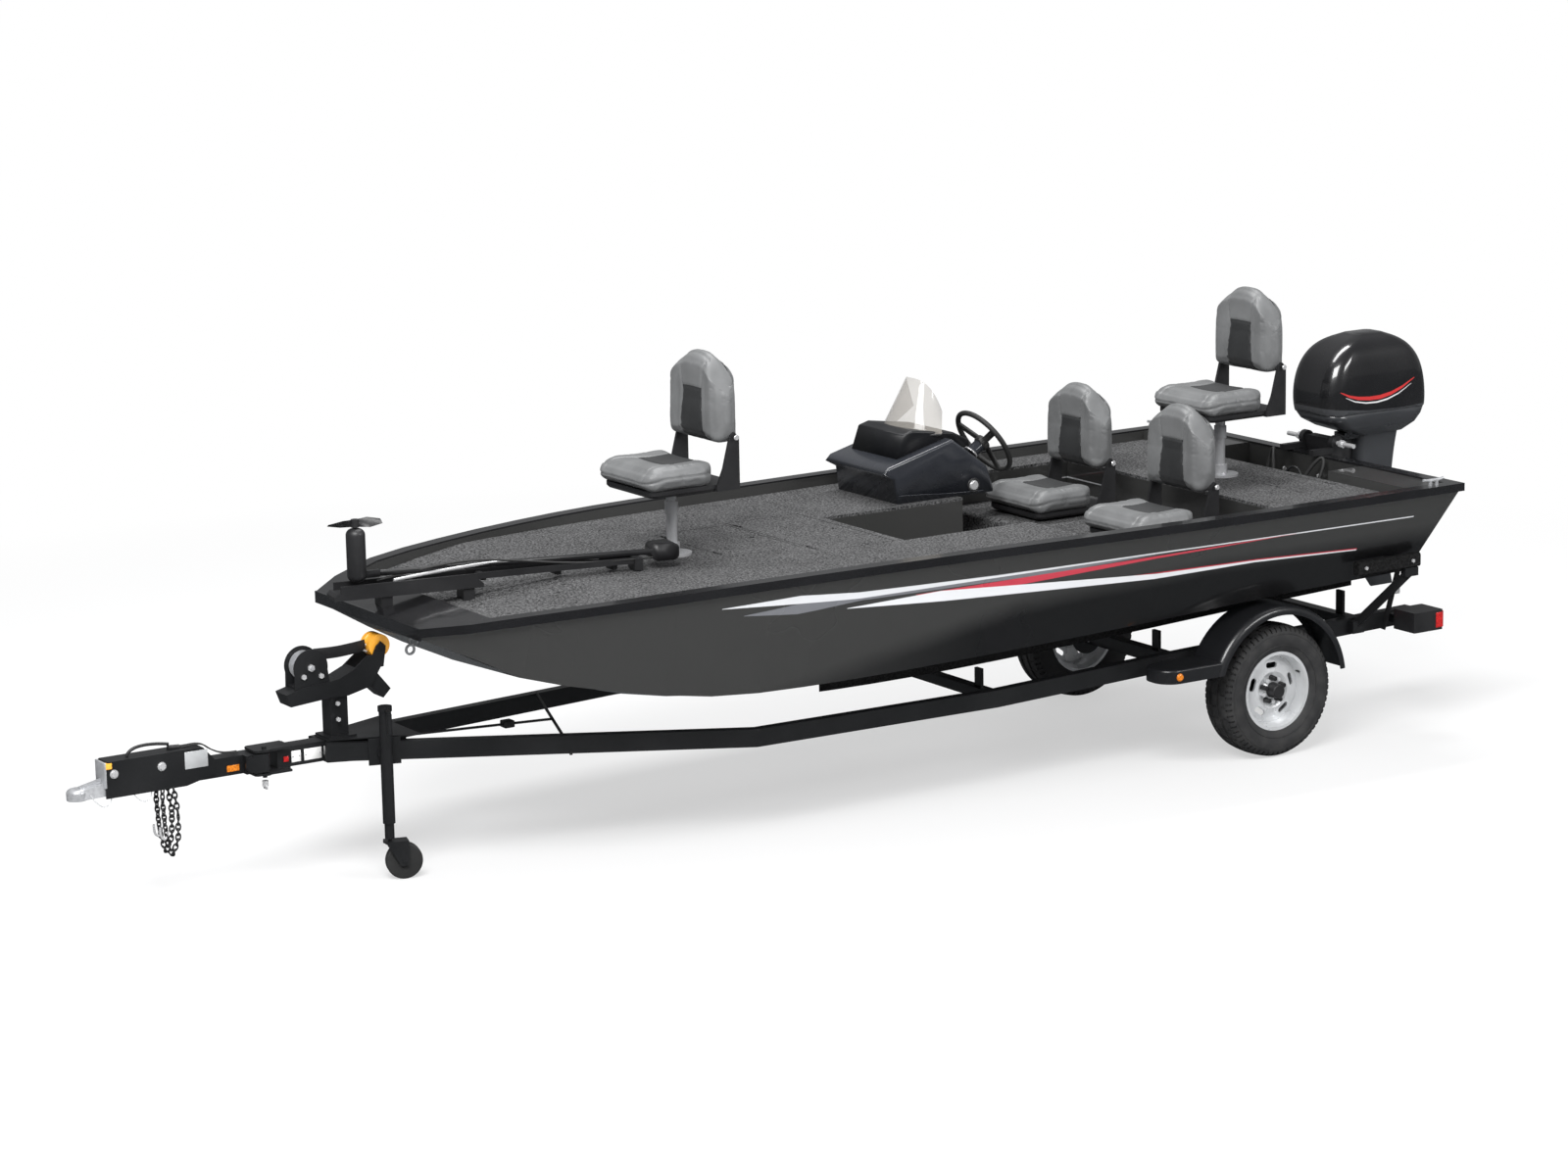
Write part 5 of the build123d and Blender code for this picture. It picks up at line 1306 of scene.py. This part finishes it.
    def build(self) -> None:
        """Makes the cushion, the backrest pad and the hinge bolts."""
        size, seat, back = self.sizes, *self.bodies
        inset = size.swell
        cushion = self.padded(f"{self.name}_cushion", (-size.half + inset, -size.front + inset, size.low + 1),
                              (size.half - inset, size.back - inset, size.high - inset))
        self.swell(cushion, inset)
        self.shape(cushion, self.cushion_form)
        cushion.smooth(70)
        cushion.dress(seat, Finish.SEAT, Finish.SEAT_PANEL)
        panel = size.half * size.cushion_panel
        self.panels(cushion, lambda p: abs(p.x) < panel and p.y > size.cross_seam and p.z > size.low + 70)
        pad = self.padded(f"{self.name}_backrest",
                          (-size.back_half + inset, size.pad_front + inset, size.pad_low + inset),
                          (size.back_half - inset, size.pad_back - 2, size.pad_high - inset))
        self.swell(pad, inset)
        self.shape(pad, self.pad_form)
        pad.smooth(70)
        pad.dress(back, Finish.SEAT, Finish.SEAT_PANEL)
        tall = size.pad_high - size.pad_low
        self.panels(pad, lambda p: abs(p.x) < size.back_half * self.panel_edge((p.z - size.pad_low) / tall)
                    and p.z < size.pad_low + size.panel_top * tall and p.y < size.pad_front + 60)
        self.cushion, self.pad = cushion, pad
        for side in (-1, 1):
            x = side * (size.back_half + 20)
            bolt = Piece.rod(f"{self.name}_hinge_bolt_{'port' if side > 0 else 'starboard'}",
                             self.spot(x, size.hinge_y, size.hinge_z),
                             self.spot(x + side * 4, size.hinge_y, size.hinge_z), 13, tip=10)
            bolt.dress(seat, Finish.CHROME)


class Seats:
    """The two seats of the cockpit and the two on pedestals."""

    def __init__(self, nodes: dict) -> None:
        """Takes the CAD objects.

        Args:
            nodes: the CAD objects.
        """
        self.nodes = nodes

    def build(self) -> None:
        """Makes all four seats."""
        for side, x in (("port", 400), ("starboard", -400)):
            seat = Seat(f"{side}_seat", (x, 3925, 1054), (ROOT, f"{side}_backrest"))
            seat.build()
            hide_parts("cockpit_seat_cushions")
            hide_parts(f"{side}_seat_pad")
            self.shell(side, x, f"{side}_backrest")
        for end, y in (("front", 1530), ("rear", 4655)):
            seat = Seat(f"{end}_seat", (0, y, 1500), (f"{end}_seat", f"{end}_backrest"))
            seat.build()
            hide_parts(f"{end}_seat_cushion")
            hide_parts(f"{end}_seat_pad")
            self.shell(end, 0, f"{end}_backrest")
            Piece.ring(f"{end}_seat_post_collar", (0, y, 1478), (0, 0, 1), 27, 7).dress(ROOT, Finish.BLACK)

    def shell(self, name: str, x: float, body: str) -> None:
        """The backrest's shell, drawn in at its edges so that the pad wraps over it.

        Args:
            name: the seat's first name.
            x: the seat's middle.
            body: the body of the backrest.
        """
        shell = Piece.copy_of(f"{name}_back_shell", self.nodes[f"{name}_seat_back"])
        low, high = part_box(f"{name}_seat_back")
        for vertex in shell.obj.data.vertices:
            up = (vertex.co.z - low[2]) / (high[2] - low[2])
            if up > 0.22:
                vertex.co.x = x / MM + (vertex.co.x - x / MM) * (0.84 - 0.22 * max(0.0, up - 0.5))
                vertex.co.z -= 0.035 * (up - 0.22)
        shell.bevel(3, 2, 40).dress(body, Finish.BLACK).for_nodes(f"{name}_seat_back")


# Wheels

@dataclass
class WheelSizes:
    """Sizes of a trailer wheel and tyre in millimetres."""

    across: float = 765.0
    aft: float = 4330.0
    up: float = 318.0
    section: tuple[tuple[float, float], ...] = (
        (184, -66), (190, -76), (206, -88), (236, -98), (262, -100), (288, -95), (304, -86), (313, -70),
        (316.5, -42), (318, -14), (318, 14), (316.5, 42), (313, 70), (304, 86), (288, 95), (262, 100),
        (236, 98), (206, 88), (190, 76), (184, 66))
    pitches: int = 64
    groove: float = 6.0


class Wheel:
    """A trailer wheel: tyre with ribs and shoulder lugs, black hub, valve and side-wall rings."""

    def __init__(self, side: str, sizes: WheelSizes | None = None) -> None:
        """Takes the side.

        Args:
            side: port or starboard.
            sizes: its sizes.
        """
        self.side = side
        self.sign = 1 if side == "port" else -1
        self.body = f"{side}_wheel"
        self.sizes = sizes or WheelSizes()

    def spot(self, radius: float, angle: float, out: float) -> Point:
        """A point of the wheel.

        Args:
            radius: from the axle.
            angle: in degrees, 0 straight up.
            out: outwards from the middle plane.

        Returns:
            The point in the boat's millimetres.
        """
        size, turn = self.sizes, radians(angle)
        return (self.sign * (size.across + out), size.aft + radius * sin(turn), size.up + radius * cos(turn))

    def tyre(self) -> Piece:
        """Spins the tyre's section and cuts the ribs and lugs of its tread."""
        size = self.sizes
        deselect()
        bpy.ops.mesh.primitive_circle_add(vertices=len(size.section), fill_type="NOTHING", radius=1)
        piece = Piece(f"{self.side}_tyre_tread")
        for vertex, (radius, out) in zip(piece.obj.data.vertices, size.section):
            vertex.co = at(*self.spot(radius, 0, out))
        steps = size.pitches * 2
        piece.edit(lambda: bpy.ops.mesh.select_mode(type="VERT"),
                   lambda: bpy.ops.mesh.select_all(action="SELECT"),
                   lambda: bpy.ops.mesh.spin(steps=steps, angle=2 * pi, center=at(*self.spot(0, 0, 0)),
                                             axis=(1, 0, 0)),
                   lambda: bpy.ops.mesh.select_all(action="SELECT"),
                   lambda: bpy.ops.mesh.remove_doubles(threshold=0.0001),
                   lambda: bpy.ops.mesh.normals_make_consistent(inside=False))
        centre = at(*self.spot(0, 0, 0))

        def rows(face: bpy.types.MeshPolygon) -> tuple[float, float, int]:
            """Distance outwards, radius and pitch number of a face."""
            off = face.center - centre
            angle = atan2(off.y, off.z) % (2 * pi)
            return abs(off.x) * MM, hypot(off.y, off.z) * MM, int(angle / (2 * pi) * steps)

        def shoulder(face: bpy.types.MeshPolygon) -> bool:
            """Every other pitch of the two shoulder bands."""
            out, radius, pitch = rows(face)
            return 56 < out < 94 and radius > 294 and pitch % 2 == 0

        def channel(face: bpy.types.MeshPolygon) -> bool:
            """The two channels round the tread."""
            out, radius, pitch = rows(face)
            return 20 < out < 35 and radius > 300

        def sipe(face: bpy.types.MeshPolygon) -> bool:
            """Short cuts across the middle ribs."""
            out, radius, pitch = rows(face)
            return out < 70 and radius > 311 and pitch % 4 == 1

        for test, depth in ((shoulder, size.groove), (channel, size.groove + 1), (sipe, 3.0)):
            piece.choose(test)
            piece.on_chosen(lambda: bpy.ops.mesh.inset(thickness=0.0022, depth=0.0, use_individual=False),
                            lambda: bpy.ops.mesh.inset(thickness=0.0008, depth=-depth / MM,
                                                       use_individual=False))
        return piece.smooth(38)

    def build(self) -> None:
        """Makes the tyre, side-wall rings, hub and valve."""
        tyre = self.tyre()
        tyre.dress(self.body, Finish.TYRE).for_nodes(f"tyre_{self.side}")
        for radius, out in ((222, 95), (278, 98)):
            ring = Piece.ring(f"{self.side}_side_wall_ring_{radius}", self.spot(0, 0, out - 1.2), (1, 0, 0),
                              radius, 2.2, 96)
            ring.dress(self.body, Finish.TYRE)
        cap = Piece.rod(f"{self.side}_hub_cap", self.spot(0, 0, 27), self.spot(0, 0, 91), 40, 40, tip=33)
        cap.bevel(4, 3).dress(self.body, Finish.BLACK)
        star = Piece.rod(f"{self.side}_hub_plate", self.spot(0, 0, 27), self.spot(0, 0, 30), 46, 40)
        for number in range(5):
            arm = Piece.rod(f"{self.side}_hub_arm_{number}", self.spot(57.15, number * 72, 26.5),
                            self.spot(57.15, number * 72, 62), 14.5, 6, tip=12.5)
            star.join(arm.bevel(1.5))
        star.smooth(30).dress(self.body, Finish.BLACK)
        valve = Piece.rod(f"{self.side}_valve", self.spot(164, 64, 34), self.spot(160, 64, 62), 5, 14, tip=4)
        valve.dress(self.body, Finish.RUBBER)


# Outboard

@dataclass(frozen=True)
class CowlPaint(HullPaint):
    """Black gloss cowl with a red swoosh over a white line on its sides."""

    def build(self) -> bpy.types.Material:
        """Makes the material."""
        shader = Shader(self.name)
        x, row_y, z = shader.axes()
        y = row_y - self.nose_y
        cloud = shader.noise(3.0, 3.0)
        red = self.band(y, z, [(5.27, 1.560), (5.32, 1.541), (5.38, 1.528), (5.45, 1.522), (5.52, 1.523),
                               (5.59, 1.534), (5.66, 1.556), (5.74, 1.592)],
                        [(5.27, 1.556), (5.32, 1.530), (5.38, 1.512), (5.45, 1.503), (5.52, 1.503),
                         (5.59, 1.516), (5.66, 1.543), (5.74, 1.588)])
        white = self.band(y, z, [(5.30, 1.530), (5.36, 1.508), (5.43, 1.495), (5.50, 1.493), (5.57, 1.502),
                                 (5.64, 1.523), (5.72, 1.563)],
                          [(5.30, 1.528), (5.36, 1.502), (5.43, 1.488), (5.50, 1.485), (5.57, 1.494),
                           (5.64, 1.517), (5.72, 1.561)])
        side = x.absolute().above(0.11, 0.004)
        lower = (self.line(y, [(5.20, 1.478), (5.45, 1.452), (5.65, 1.446), (5.80, 1.452)]) - z).above(0.0,
                                                                                                       0.001)
        base = shader.mix(cloud.span(0.3, 0.7, 0.0, 1.0), (0.006, 0.006, 0.007), (0.011, 0.011, 0.012))
        base = shader.mix(lower, base, (0.050, 0.052, 0.056))
        colour = shader.mix(white * side, shader.mix(red * side, base, (0.55, 0.03, 0.03)),
                            (0.70, 0.70, 0.71))
        shader.set(Base_Color=colour, Coat_Weight=1.0, Coat_Roughness=0.05, IOR=1.45,
                   Roughness=cloud.span(0.3, 0.7, 0.20, 0.30))
        return shader.material


class Outboard:
    """Trim of the outboard: smooth cowl and leg shells, hoses, steering tube, nuts and bolts."""

    def __init__(self, nodes: dict) -> None:
        """Takes the CAD objects.

        Args:
            nodes: the CAD objects.
        """
        self.nodes = nodes

    def build(self) -> None:
        """Makes every piece of the outboard's trim."""
        cowl = Piece.copy_of("cowl_shell", self.nodes["motor_cowl"])
        cowl.smooth(40).dress("motor", CowlPaint("cowl_black_with_swoosh", NOSE_Y)).for_nodes("motor_cowl")
        leg = Piece.copy_of("leg_shell", self.nodes["motor_leg"])
        leg.smooth(40).dress("motor", Finish.MOTOR_GREY).for_nodes("motor_leg")
        for side in (-1, 1):
            name = "port" if side > 0 else "starboard"
            for number, z in enumerate((1010, 1080, 1150)):
                bolt = Piece.rod(f"clamp_bolt_{name}_{number}", (side * 127, 5168, z), (side * 136, 5168, z),
                                 11, 6)
                bolt.dress(ROOT, Finish.CHROME)
            boot = Piece.tube(f"rigging_hose_{name}", [(side * 70, 5060, 985), (side * 96, 5070, 1100),
                                                       (side * 150, 5110, 1215), (side * 190, 5150, 1265),
                                                       (side * 210, 5130, 1190), (side * 180, 5060, 1010)], 9)
            boot.dress(ROOT, Finish.RUBBER)
        fuel = Piece.tube("fuel_hose",
                          [(-60, 5050, 985), (-40, 5070, 1120), (30, 5090, 1210), (110, 5095, 1150),
                                        (140, 5060, 990)], 5)
        fuel.dress(ROOT, Finish.HOOD)
        ram = Piece.rod("steering_tube", (-250, 5290, 1300), (250, 5290, 1300), 11, 24)
        ram.dress(ROOT, Finish.CHROME)
        for side in (-1, 1):
            Piece.rod(f"steering_nut_{side + 1}", (side * 150, 5290, 1300), (side * 170, 5290, 1300), 20,
                      6).dress(
                ROOT, Finish.CHROME)


# Console and helm

class Console:
    """Trim of the console: shell, hood, side crease, gauges, side knob, windshield and helm wheel."""

    def __init__(self, nodes: dict) -> None:
        """Takes the CAD objects.

        Args:
            nodes: the CAD objects.
        """
        self.nodes = nodes

    def build(self) -> None:
        """Makes every piece of the console's trim."""
        shell = Piece.copy_of("console_shell", self.nodes["console"])
        shell.smooth(50).dress(ROOT, Finish.CONSOLE).for_nodes("console")
        hood = Piece.copy_of("hood_shell", self.nodes["dash_hood"])
        hood.smooth(50).dress(ROOT, Finish.HOOD).for_nodes("dash_hood")
        knob = Piece.rod("console_side_knob", (-346, 3426, 1238), (-334, 3426, 1238), 26, 32, tip=22)
        knob.bevel(3).dress(ROOT, Finish.CHROME)
        Piece.ring("console_knob_ring", (-344, 3426, 1238), (1, 0, 0), 31, 5).dress(ROOT, Finish.BLACK)
        Piece.tube("console_side_crease", [(-343, 2992, 1235), (-343, 3120, 1228), (-343, 3300, 1212),
                                           (-343, 3480, 1206)], 2).dress(ROOT, Finish.CONSOLE)
        for number, x in enumerate((-700, -602, -504)):
            face = ((x, 3522, 1366), (x, 3527, 1371))
            bezel = Piece.ring(f"gauge_ring_{number}", face[0], (0, 1, 1), 36, 4)
            bezel.dress(ROOT, Finish.CHROME)
            dial = Piece.rod(f"gauge_face_{number}", *face, 34, 32)
            dial.dress(ROOT, Finish.WHITE_PLATE if number == 1 else Finish.BLACK)
        self.windshield()
        hub = Piece.copy_of("helm_wheel", self.nodes["steering_wheel"])
        hub.smooth(40).dress("helm", Finish.RUBBER).for_nodes("steering_wheel")

    def windshield(self) -> None:
        """The curved clear sheet, thin, with a rounded top and a black foot strip."""
        middle, foot, top, radius, wrap = (-602.5, 3322.0), 1490.0, 1745.0, 208.0, radians(78)
        sheet = Piece.rod("windshield_sheet", (*middle, foot), (*middle, top), radius, 128, tip=122)
        centre = at(*middle, foot)

        def outside(face: bpy.types.MeshPolygon) -> bool:
            """True for what isn't the sheet's front arc."""
            off = face.center - centre
            return abs(face.normal.z) > 0.95 or abs(atan2(off.x, -off.y)) > wrap

        sheet.choose(outside).on_chosen(lambda: bpy.ops.mesh.delete(type="FACE"))
        sheet.edit(lambda: bpy.ops.mesh.subdivide(number_cuts=8))
        for vertex in sheet.obj.data.vertices:
            off = vertex.co - centre
            turn = min(1.0, abs(atan2(off.x, -off.y)) / wrap)
            share = off.z / ((top - foot) / MM)
            vertex.co.z = centre.z + off.z * (1 - 0.62 * turn ** 3.0)
            vertex.co.y += 0.045 * share
        sheet.modify("SOLIDIFY", thickness=0.005, offset=0.0).smooth(40)
        sheet.dress(ROOT, Finish.GLASS).for_nodes("windshield")
        arc = [(middle[0] + 211 * sin(wrap * step / 8), middle[1] - 211 * cos(wrap * step / 8), foot + 2)
               for step in range(-8, 9)]
        Piece.tube("windshield_foot", arc, 6).dress(ROOT, Finish.BLACK)


# Bow motor

class BowMotor:
    """Trim of the bow motor: shaft, cable loop, clips and silver arm."""

    def __init__(self, nodes: dict) -> None:
        """Takes the CAD objects.

        Args:
            nodes: the CAD objects.
        """
        self.nodes = nodes

    def build(self) -> None:
        """Makes every piece of the bow motor's trim."""
        shaft = Piece.copy_of("bow_shaft_shell", self.nodes["bow_shaft"])
        shaft.smooth(40).dress(ROOT, Finish.BLACK).for_nodes("bow_shaft")
        loop = Piece.tube("bow_cable", [(-20, 60, 1262), (30, 260, 1300), (95, 480, 1322), (140, 700, 1292),
                                        (170, 900, 1262), (205, 1080, 1250), (240, 1290, 1250)], 5)
        loop.dress(ROOT, Finish.RUBBER)
        arm = Piece.tube("bow_silver_arm",
                         [(20, 120, 1262), (60, 420, 1292), (105, 760, 1290), (150, 1060, 1262)], 8)
        arm.dress(ROOT, Finish.CHROME)
        for number, (x, y,
                     z) in enumerate([(8, 190, 1245), (62, 520, 1240), (120, 860, 1230), (160, 1120, 1225)]):
            clip = Piece.box(f"bow_clip_{number}", (x - 34, y - 12, z - 18), (x + 34, y + 12, z + 14))
            clip.bevel(5, 3).dress(ROOT, Finish.BLACK)


# Trailer

class Chain:
    """A run of oval links along points."""

    def __init__(self, name: str, points: Sequence[Point], length: float = 24.0, bar: float = 3.6) -> None:
        """Takes the route.

        Args:
            name: the chain's name.
            points: its route in millimetres.
            length: length of a link inside.
            bar: radius of a link's bar.
        """
        self.name, self.points, self.length, self.bar = name, points, length, bar

    def build(self, body: str, finish: "Finish") -> Piece:
        """Makes the links, as one piece.

        Args:
            body: what it rides on.
            finish: its finish.

        Returns:
            The piece.
        """
        steps = []
        for first, second in zip(self.points, self.points[1:]):
            gap = [b - a for a, b in zip(first, second)]
            count = max(1, round(sqrt(sum(g * g for g in gap)) / self.length))
            steps += [tuple(a + g * (number + 0.5) / count for a,
                            g in zip(first, gap)) for number in range(count)]
        links = []
        for number, spot in enumerate(steps):
            ahead = steps[min(number + 1, len(steps) - 1)]
            behind = steps[max(number - 1, 0)]
            link = Piece.ring(f"{self.name}_{number}", (0, 0, 0), (0, 0, 1), self.length * 0.40, self.bar, 16)
            link.obj.data.transform(Matrix.Translation(-at(0, 0, 0)))
            run = Vector([b - a for a, b in zip(behind, ahead)]).normalized()
            turn = run.to_track_quat("X", "Z").to_matrix().to_4x4() @ Matrix.Rotation(pi / 2 * (number % 2),
                                                                                      4, "X")
            link.obj.data.transform(Matrix.Translation(at(*spot)) @ turn @ Matrix.Diagonal((1.55, 1, 1, 1)))
            links.append(link)
        links[0].join(*links[1:])
        links[0].obj.name = self.name
        return links[0].dress(body, finish)


class TongueGear:
    """Trim of the tongue: bolts, lever, wires, reflectors, blank plates, chains, winch strap and bolts."""

    def build(self) -> None:
        """Makes every piece."""
        self.actuator()
        self.plates()
        self.chains()
        self.winch()

    def actuator(self) -> None:
        """Bolts, tab, wrap, lever and wires of the actuator."""
        swing = "swinging_tongue"
        for number, y in enumerate((-1225, -1010)):
            bolt = Piece.rod(f"actuator_bolt_{number}", (47, y, 618), (57, y, 618), 14, 6)
            bolt.join(Piece.rod("washer", (47, y, 618), (50, y, 618), 19, 24)).dress(swing, Finish.CHROME)
        tab = Piece.box("actuator_tab", (28, -1262, 640), (50, -1232, 668))
        tab.bevel(4).dress(swing, Finish.ORANGE)
        edge = Piece.box("actuator_front_edge", (-49, -1268, 560), (49, -1258, 670))
        edge.bevel(3).dress(swing, Finish.ZINC)
        wrap = Piece.box("actuator_blank_label", (48.2, -905, 588), (49.6, -800, 662))
        wrap.bevel(0.5, 1).dress(swing, Finish.WHEEL)
        lever = Piece.tube("actuator_lever",
                           [(10, -1150, 674), (10, -1140, 704), (12, -1040, 716), (12, -960, 700)], 7)
        lever.dress(swing, Finish.BLACK)
        for number, x in enumerate((-12, 6)):
            wire = Piece.tube(f"tongue_wire_{number}", [(x, -900, 674), (x + 6, -820, 690), (x, -760, 640),
                                                        (x + 10, -700, 618), (x, -640, 616)], 3.2)
            wire.dress(swing, Finish.RUBBER)
        plug = Piece.rod("tongue_wire_plug", (0, -905, 676), (0, -960, 680), 12, 20)
        plug.bevel(3).dress(swing, Finish.BLACK)
        for number, (y, z) in enumerate(((-1300, 505), (-1120, 500))):
            loop = Piece.tube(f"pale_wire_loop_{number}",
                              [(30, y - 40, 560), (46, y - 20, z + 10), (46, y + 30, z - 30),
                                                           (40, y + 70, z + 5), (30, y + 60, 560)], 2.4)
            loop.dress(swing, Finish.WHEEL)

    def plates(self) -> None:
        """Reflector, red square, blank plates with their rivets and the hinge's wing nut."""
        swing = "swinging_tongue"
        reflector = Piece.box("tongue_reflector", (40.3, -712, 545), (45, -655, 572))
        reflector.bevel(1.5).dress(swing, Finish.AMBER_LENS)
        square = Piece.box("tongue_red_square", (40.3, -448, 548), (45, -424, 572))
        square.bevel(1.5).dress(ROOT, Finish.RED_LENS)
        for number, (low, high) in enumerate(((-410, -366), (-350, -268), (-255, -190))):
            plate = Piece.box(f"tongue_blank_plate_{number}", (40.3, low, 540), (42, high, 590))
            plate.bevel(0.6, 1).dress(ROOT, Finish.WHITE_PLATE)
            for end in (low + 7, high - 7):
                Piece.rod(f"plate_rivet_{number}_{'ab'[end > low + 8]}", (41.5, end, 565), (44, end, 565),
                          3.4, 12).dress(
                    ROOT, Finish.CHROME)
        nut = Piece.rod("hinge_wing_nut", (58, -545, 486), (58, -545, 462), 15, 6)
        nut.join(Piece.box("wing", (40, -549, 448), (76, -541, 468)).bevel(4)).dress(ROOT, Finish.CHROME)

    def chains(self) -> None:
        """Two safety chains with their hooks."""
        swing = "swinging_tongue"
        for number, x in enumerate((-34, 30)):
            route = [(x, -998, 600 if number else 560), (x + 6, -1010, 470), (x, -1002, 360),
                     (x - 4, -992, 290),
                     (x + 2, -975, 225), (x + 12, -950, 290), (x + 14, -945, 400), (x + 10, -960, 520)]
            Chain(f"safety_chain_{number}", route).build(swing, Finish.BLACK)
            hook = Piece.tube(f"safety_hook_{number}", [(x, -1024, 352), (x, -1026, 322), (x, -1012, 296),
                                                        (x, -992, 304), (x, -990, 332)], 5.5)
            hook.dress(swing, Finish.CHROME)

    def winch(self) -> None:
        """Winch strap, its hook, plate bolts and post bolts."""
        strap = Piece.tube("winch_strap", [(0, -268, 985), (0, -180, 980), (0, -90, 985), (0, -20, 992)], 1.6,
                           flat=24)
        strap.dress(ROOT, Finish.BLACK)
        hook = Piece.tube("winch_hook",
                          [(0, -22, 992), (0, 2, 996), (0, 6, 972), (0, -14, 960), (0, -30, 972)], 5)
        hook.dress(ROOT, Finish.CHROME)
        for number, (y, z) in enumerate(((-304, 940), (-258, 900), (-340, 905))):
            bolt = Piece.rod(f"winch_bolt_{number}", (48, y, z), (57, y, z), 12 if number else 16, 6)
            bolt.dress(ROOT, Finish.CHROME)
        for number, z in enumerate((700, 770)):
            bolt = Piece.rod(f"post_bolt_{number}", (54, -190, z), (64, -190, z), 10, 6)
            bolt.dress(ROOT, Finish.CHROME)


class SternGear:
    """Trim at the stern and on the trailer's side: lamps, reflectors, tie-down, bolts and cross rods."""

    def build(self) -> None:
        """Makes every piece."""
        self.lamps()
        self.tie_downs()
        self.bolts()

    def lamps(self) -> None:
        """Tail lenses with their side lenses, step lamps and rail reflectors."""
        for side in (-1, 1):
            name = "port" if side > 0 else "starboard"
            lens = Piece.box(f"tail_lens_{name}", (side * 758, 5300, 506), (side * 897, 5312, 588))
            lens.bevel(5, 3).dress(ROOT, Finish.RED_LENS)
            corner = Piece.box(f"tail_side_lens_{name}", (side * 904, 5255, 510), (side * 908, 5296, 584))
            corner.bevel(1.5).dress(ROOT, Finish.RED_LENS)
            lamp = Piece.rod(f"step_lamp_{name}", (side * 902, 3700, 486), (side * 912, 3700, 486), 20, 28,
                             tip=15)
            lamp.bevel(3).dress(ROOT, Finish.AMBER_LENS)
            rail = Piece.box(f"rail_reflector_{name}", (side * 645.5, 4985, 534), (side * 651, 5030, 560))
            rail.bevel(1.5).dress(ROOT, Finish.RED_LENS)

    def tie_downs(self) -> None:
        """Strap from each stern eye to the trailer, with its buckle."""
        for side in (-1, 1):
            name = "port" if side > 0 else "starboard"
            strap = Piece.tube(f"tie_down_{name}",
                               [(side * 700, 5212, 870), (side * 690, 5205, 780), (side * 668, 5180, 640),
                                                    (side * 652, 5160, 520), (side * 640, 5150, 470)], 1.4,
                               flat=12)
            strap.dress(ROOT, Finish.BLACK)
            buckle = Piece.box(f"tie_buckle_{name}", (side * 672, 5176, 650), (side * 700, 5208, 712))
            buckle.bevel(5, 3).dress(ROOT, Finish.CHROME)

    def bolts(self) -> None:
        """U-bolts of the axle, guide bracket bolts and cross rods."""
        for side in (-1, 1):
            name = "port" if side > 0 else "starboard"
            for number, y in enumerate((4300, 4360)):
                bolt = Piece.tube(f"axle_u_bolt_{name}_{number}", [(side * 600, y, 300), (side * 600, y, 420),
                                                                   (side * 640, y, 420),
                                                                   (side * 640, y, 300)], 6)
                bolt.dress(ROOT, Finish.ZINC)
            for number, y in enumerate((4790, 5080)):
                bolt = Piece.rod(f"guide_bolt_{name}_{number}", (side * 932, y, 866), (side * 940, y, 866), 9,
                                 6)
                bolt.dress(ROOT, Finish.CHROME)
        brace = Piece.tube("brace_rod",
                           [(-458, 1066, 534), (-300, 1008, 525), (200, 826, 505), (392, 756, 498),
                                         (404, 750, 470)], 7)
        brace.dress(ROOT, Finish.BLACK)
        pull = Piece.rod("brake_line_rod", (-12, 110, 566), (-30, 905, 522), 6, 16)
        pull.join(Piece.box("rod_clip", (-52, 650, 520), (0, 700, 552)).bevel(5)).dress(ROOT, Finish.BLACK)


# Plain dressing of the CAD nodes

NODE_FINISH = {
    Finish.GUNWALE: ["gunwale_cap"],
    Finish.CARPET: ["front_deck", "rear_deck", "cockpit_floor", "lid_front_a", "lid_front_b", "lid_aft"],
    Finish.BLACK: ["front_seat_pan", "rear_seat_pan", "cockpit_seat_pans", "bow_mount", "bow_prop",
                   "clamp_bracket", "swivel_bracket", "tail_lights"],
    Finish.FRAME: ["trailer_frame", "swing_tongue", "axle", "winch_post", "jack_tube", "jack_yoke"],
    Finish.MUDGUARD: ["fenders"],
    Finish.ZINC: ["coupler", "winch_drum", "deck_fittings"],
    Finish.BUNK: ["bunks", "guide_pads"],
    Finish.ORANGE: ["bow_roller"],
    Finish.RUBBER: ["jack_wheel"],
    Finish.CHROME: ["propeller"],
    Finish.ANODISED: ["pedestals"],
    Finish.WHEEL: ["wheel_port", "wheel_starboard"],
}


def dress_nodes(nodes: dict) -> None:
    """Gives every CAD node that stays its finish.

    Args:
        nodes: the CAD objects.
    """
    for finish, names in NODE_FINISH.items():
        for name in names:
            paint(nodes[name], finish)
    hull = HullPaint("hull_charcoal", NOSE_Y)
    for name in ("hull_bow", "hull_bottom", "hull_sides", "hull_stern"):
        paint(nodes[name], hull)


def main() -> None:
    """Builds the boat piece by piece."""
    logging.basicConfig(level=logging.INFO, format="%(message)s")
    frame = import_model()
    nodes = frame["nodes"]
    Studio().build()
    dress_nodes(nodes)
    builders = (Seats(nodes), Wheel("port"), Wheel("starboard"), Outboard(nodes), Console(nodes),
                BowMotor(nodes), TongueGear(), SternGear())
    for builder in builders:
        builder.build()
        log.info("%s built", type(builder).__name__)


if __name__ == "__main__":
    main()
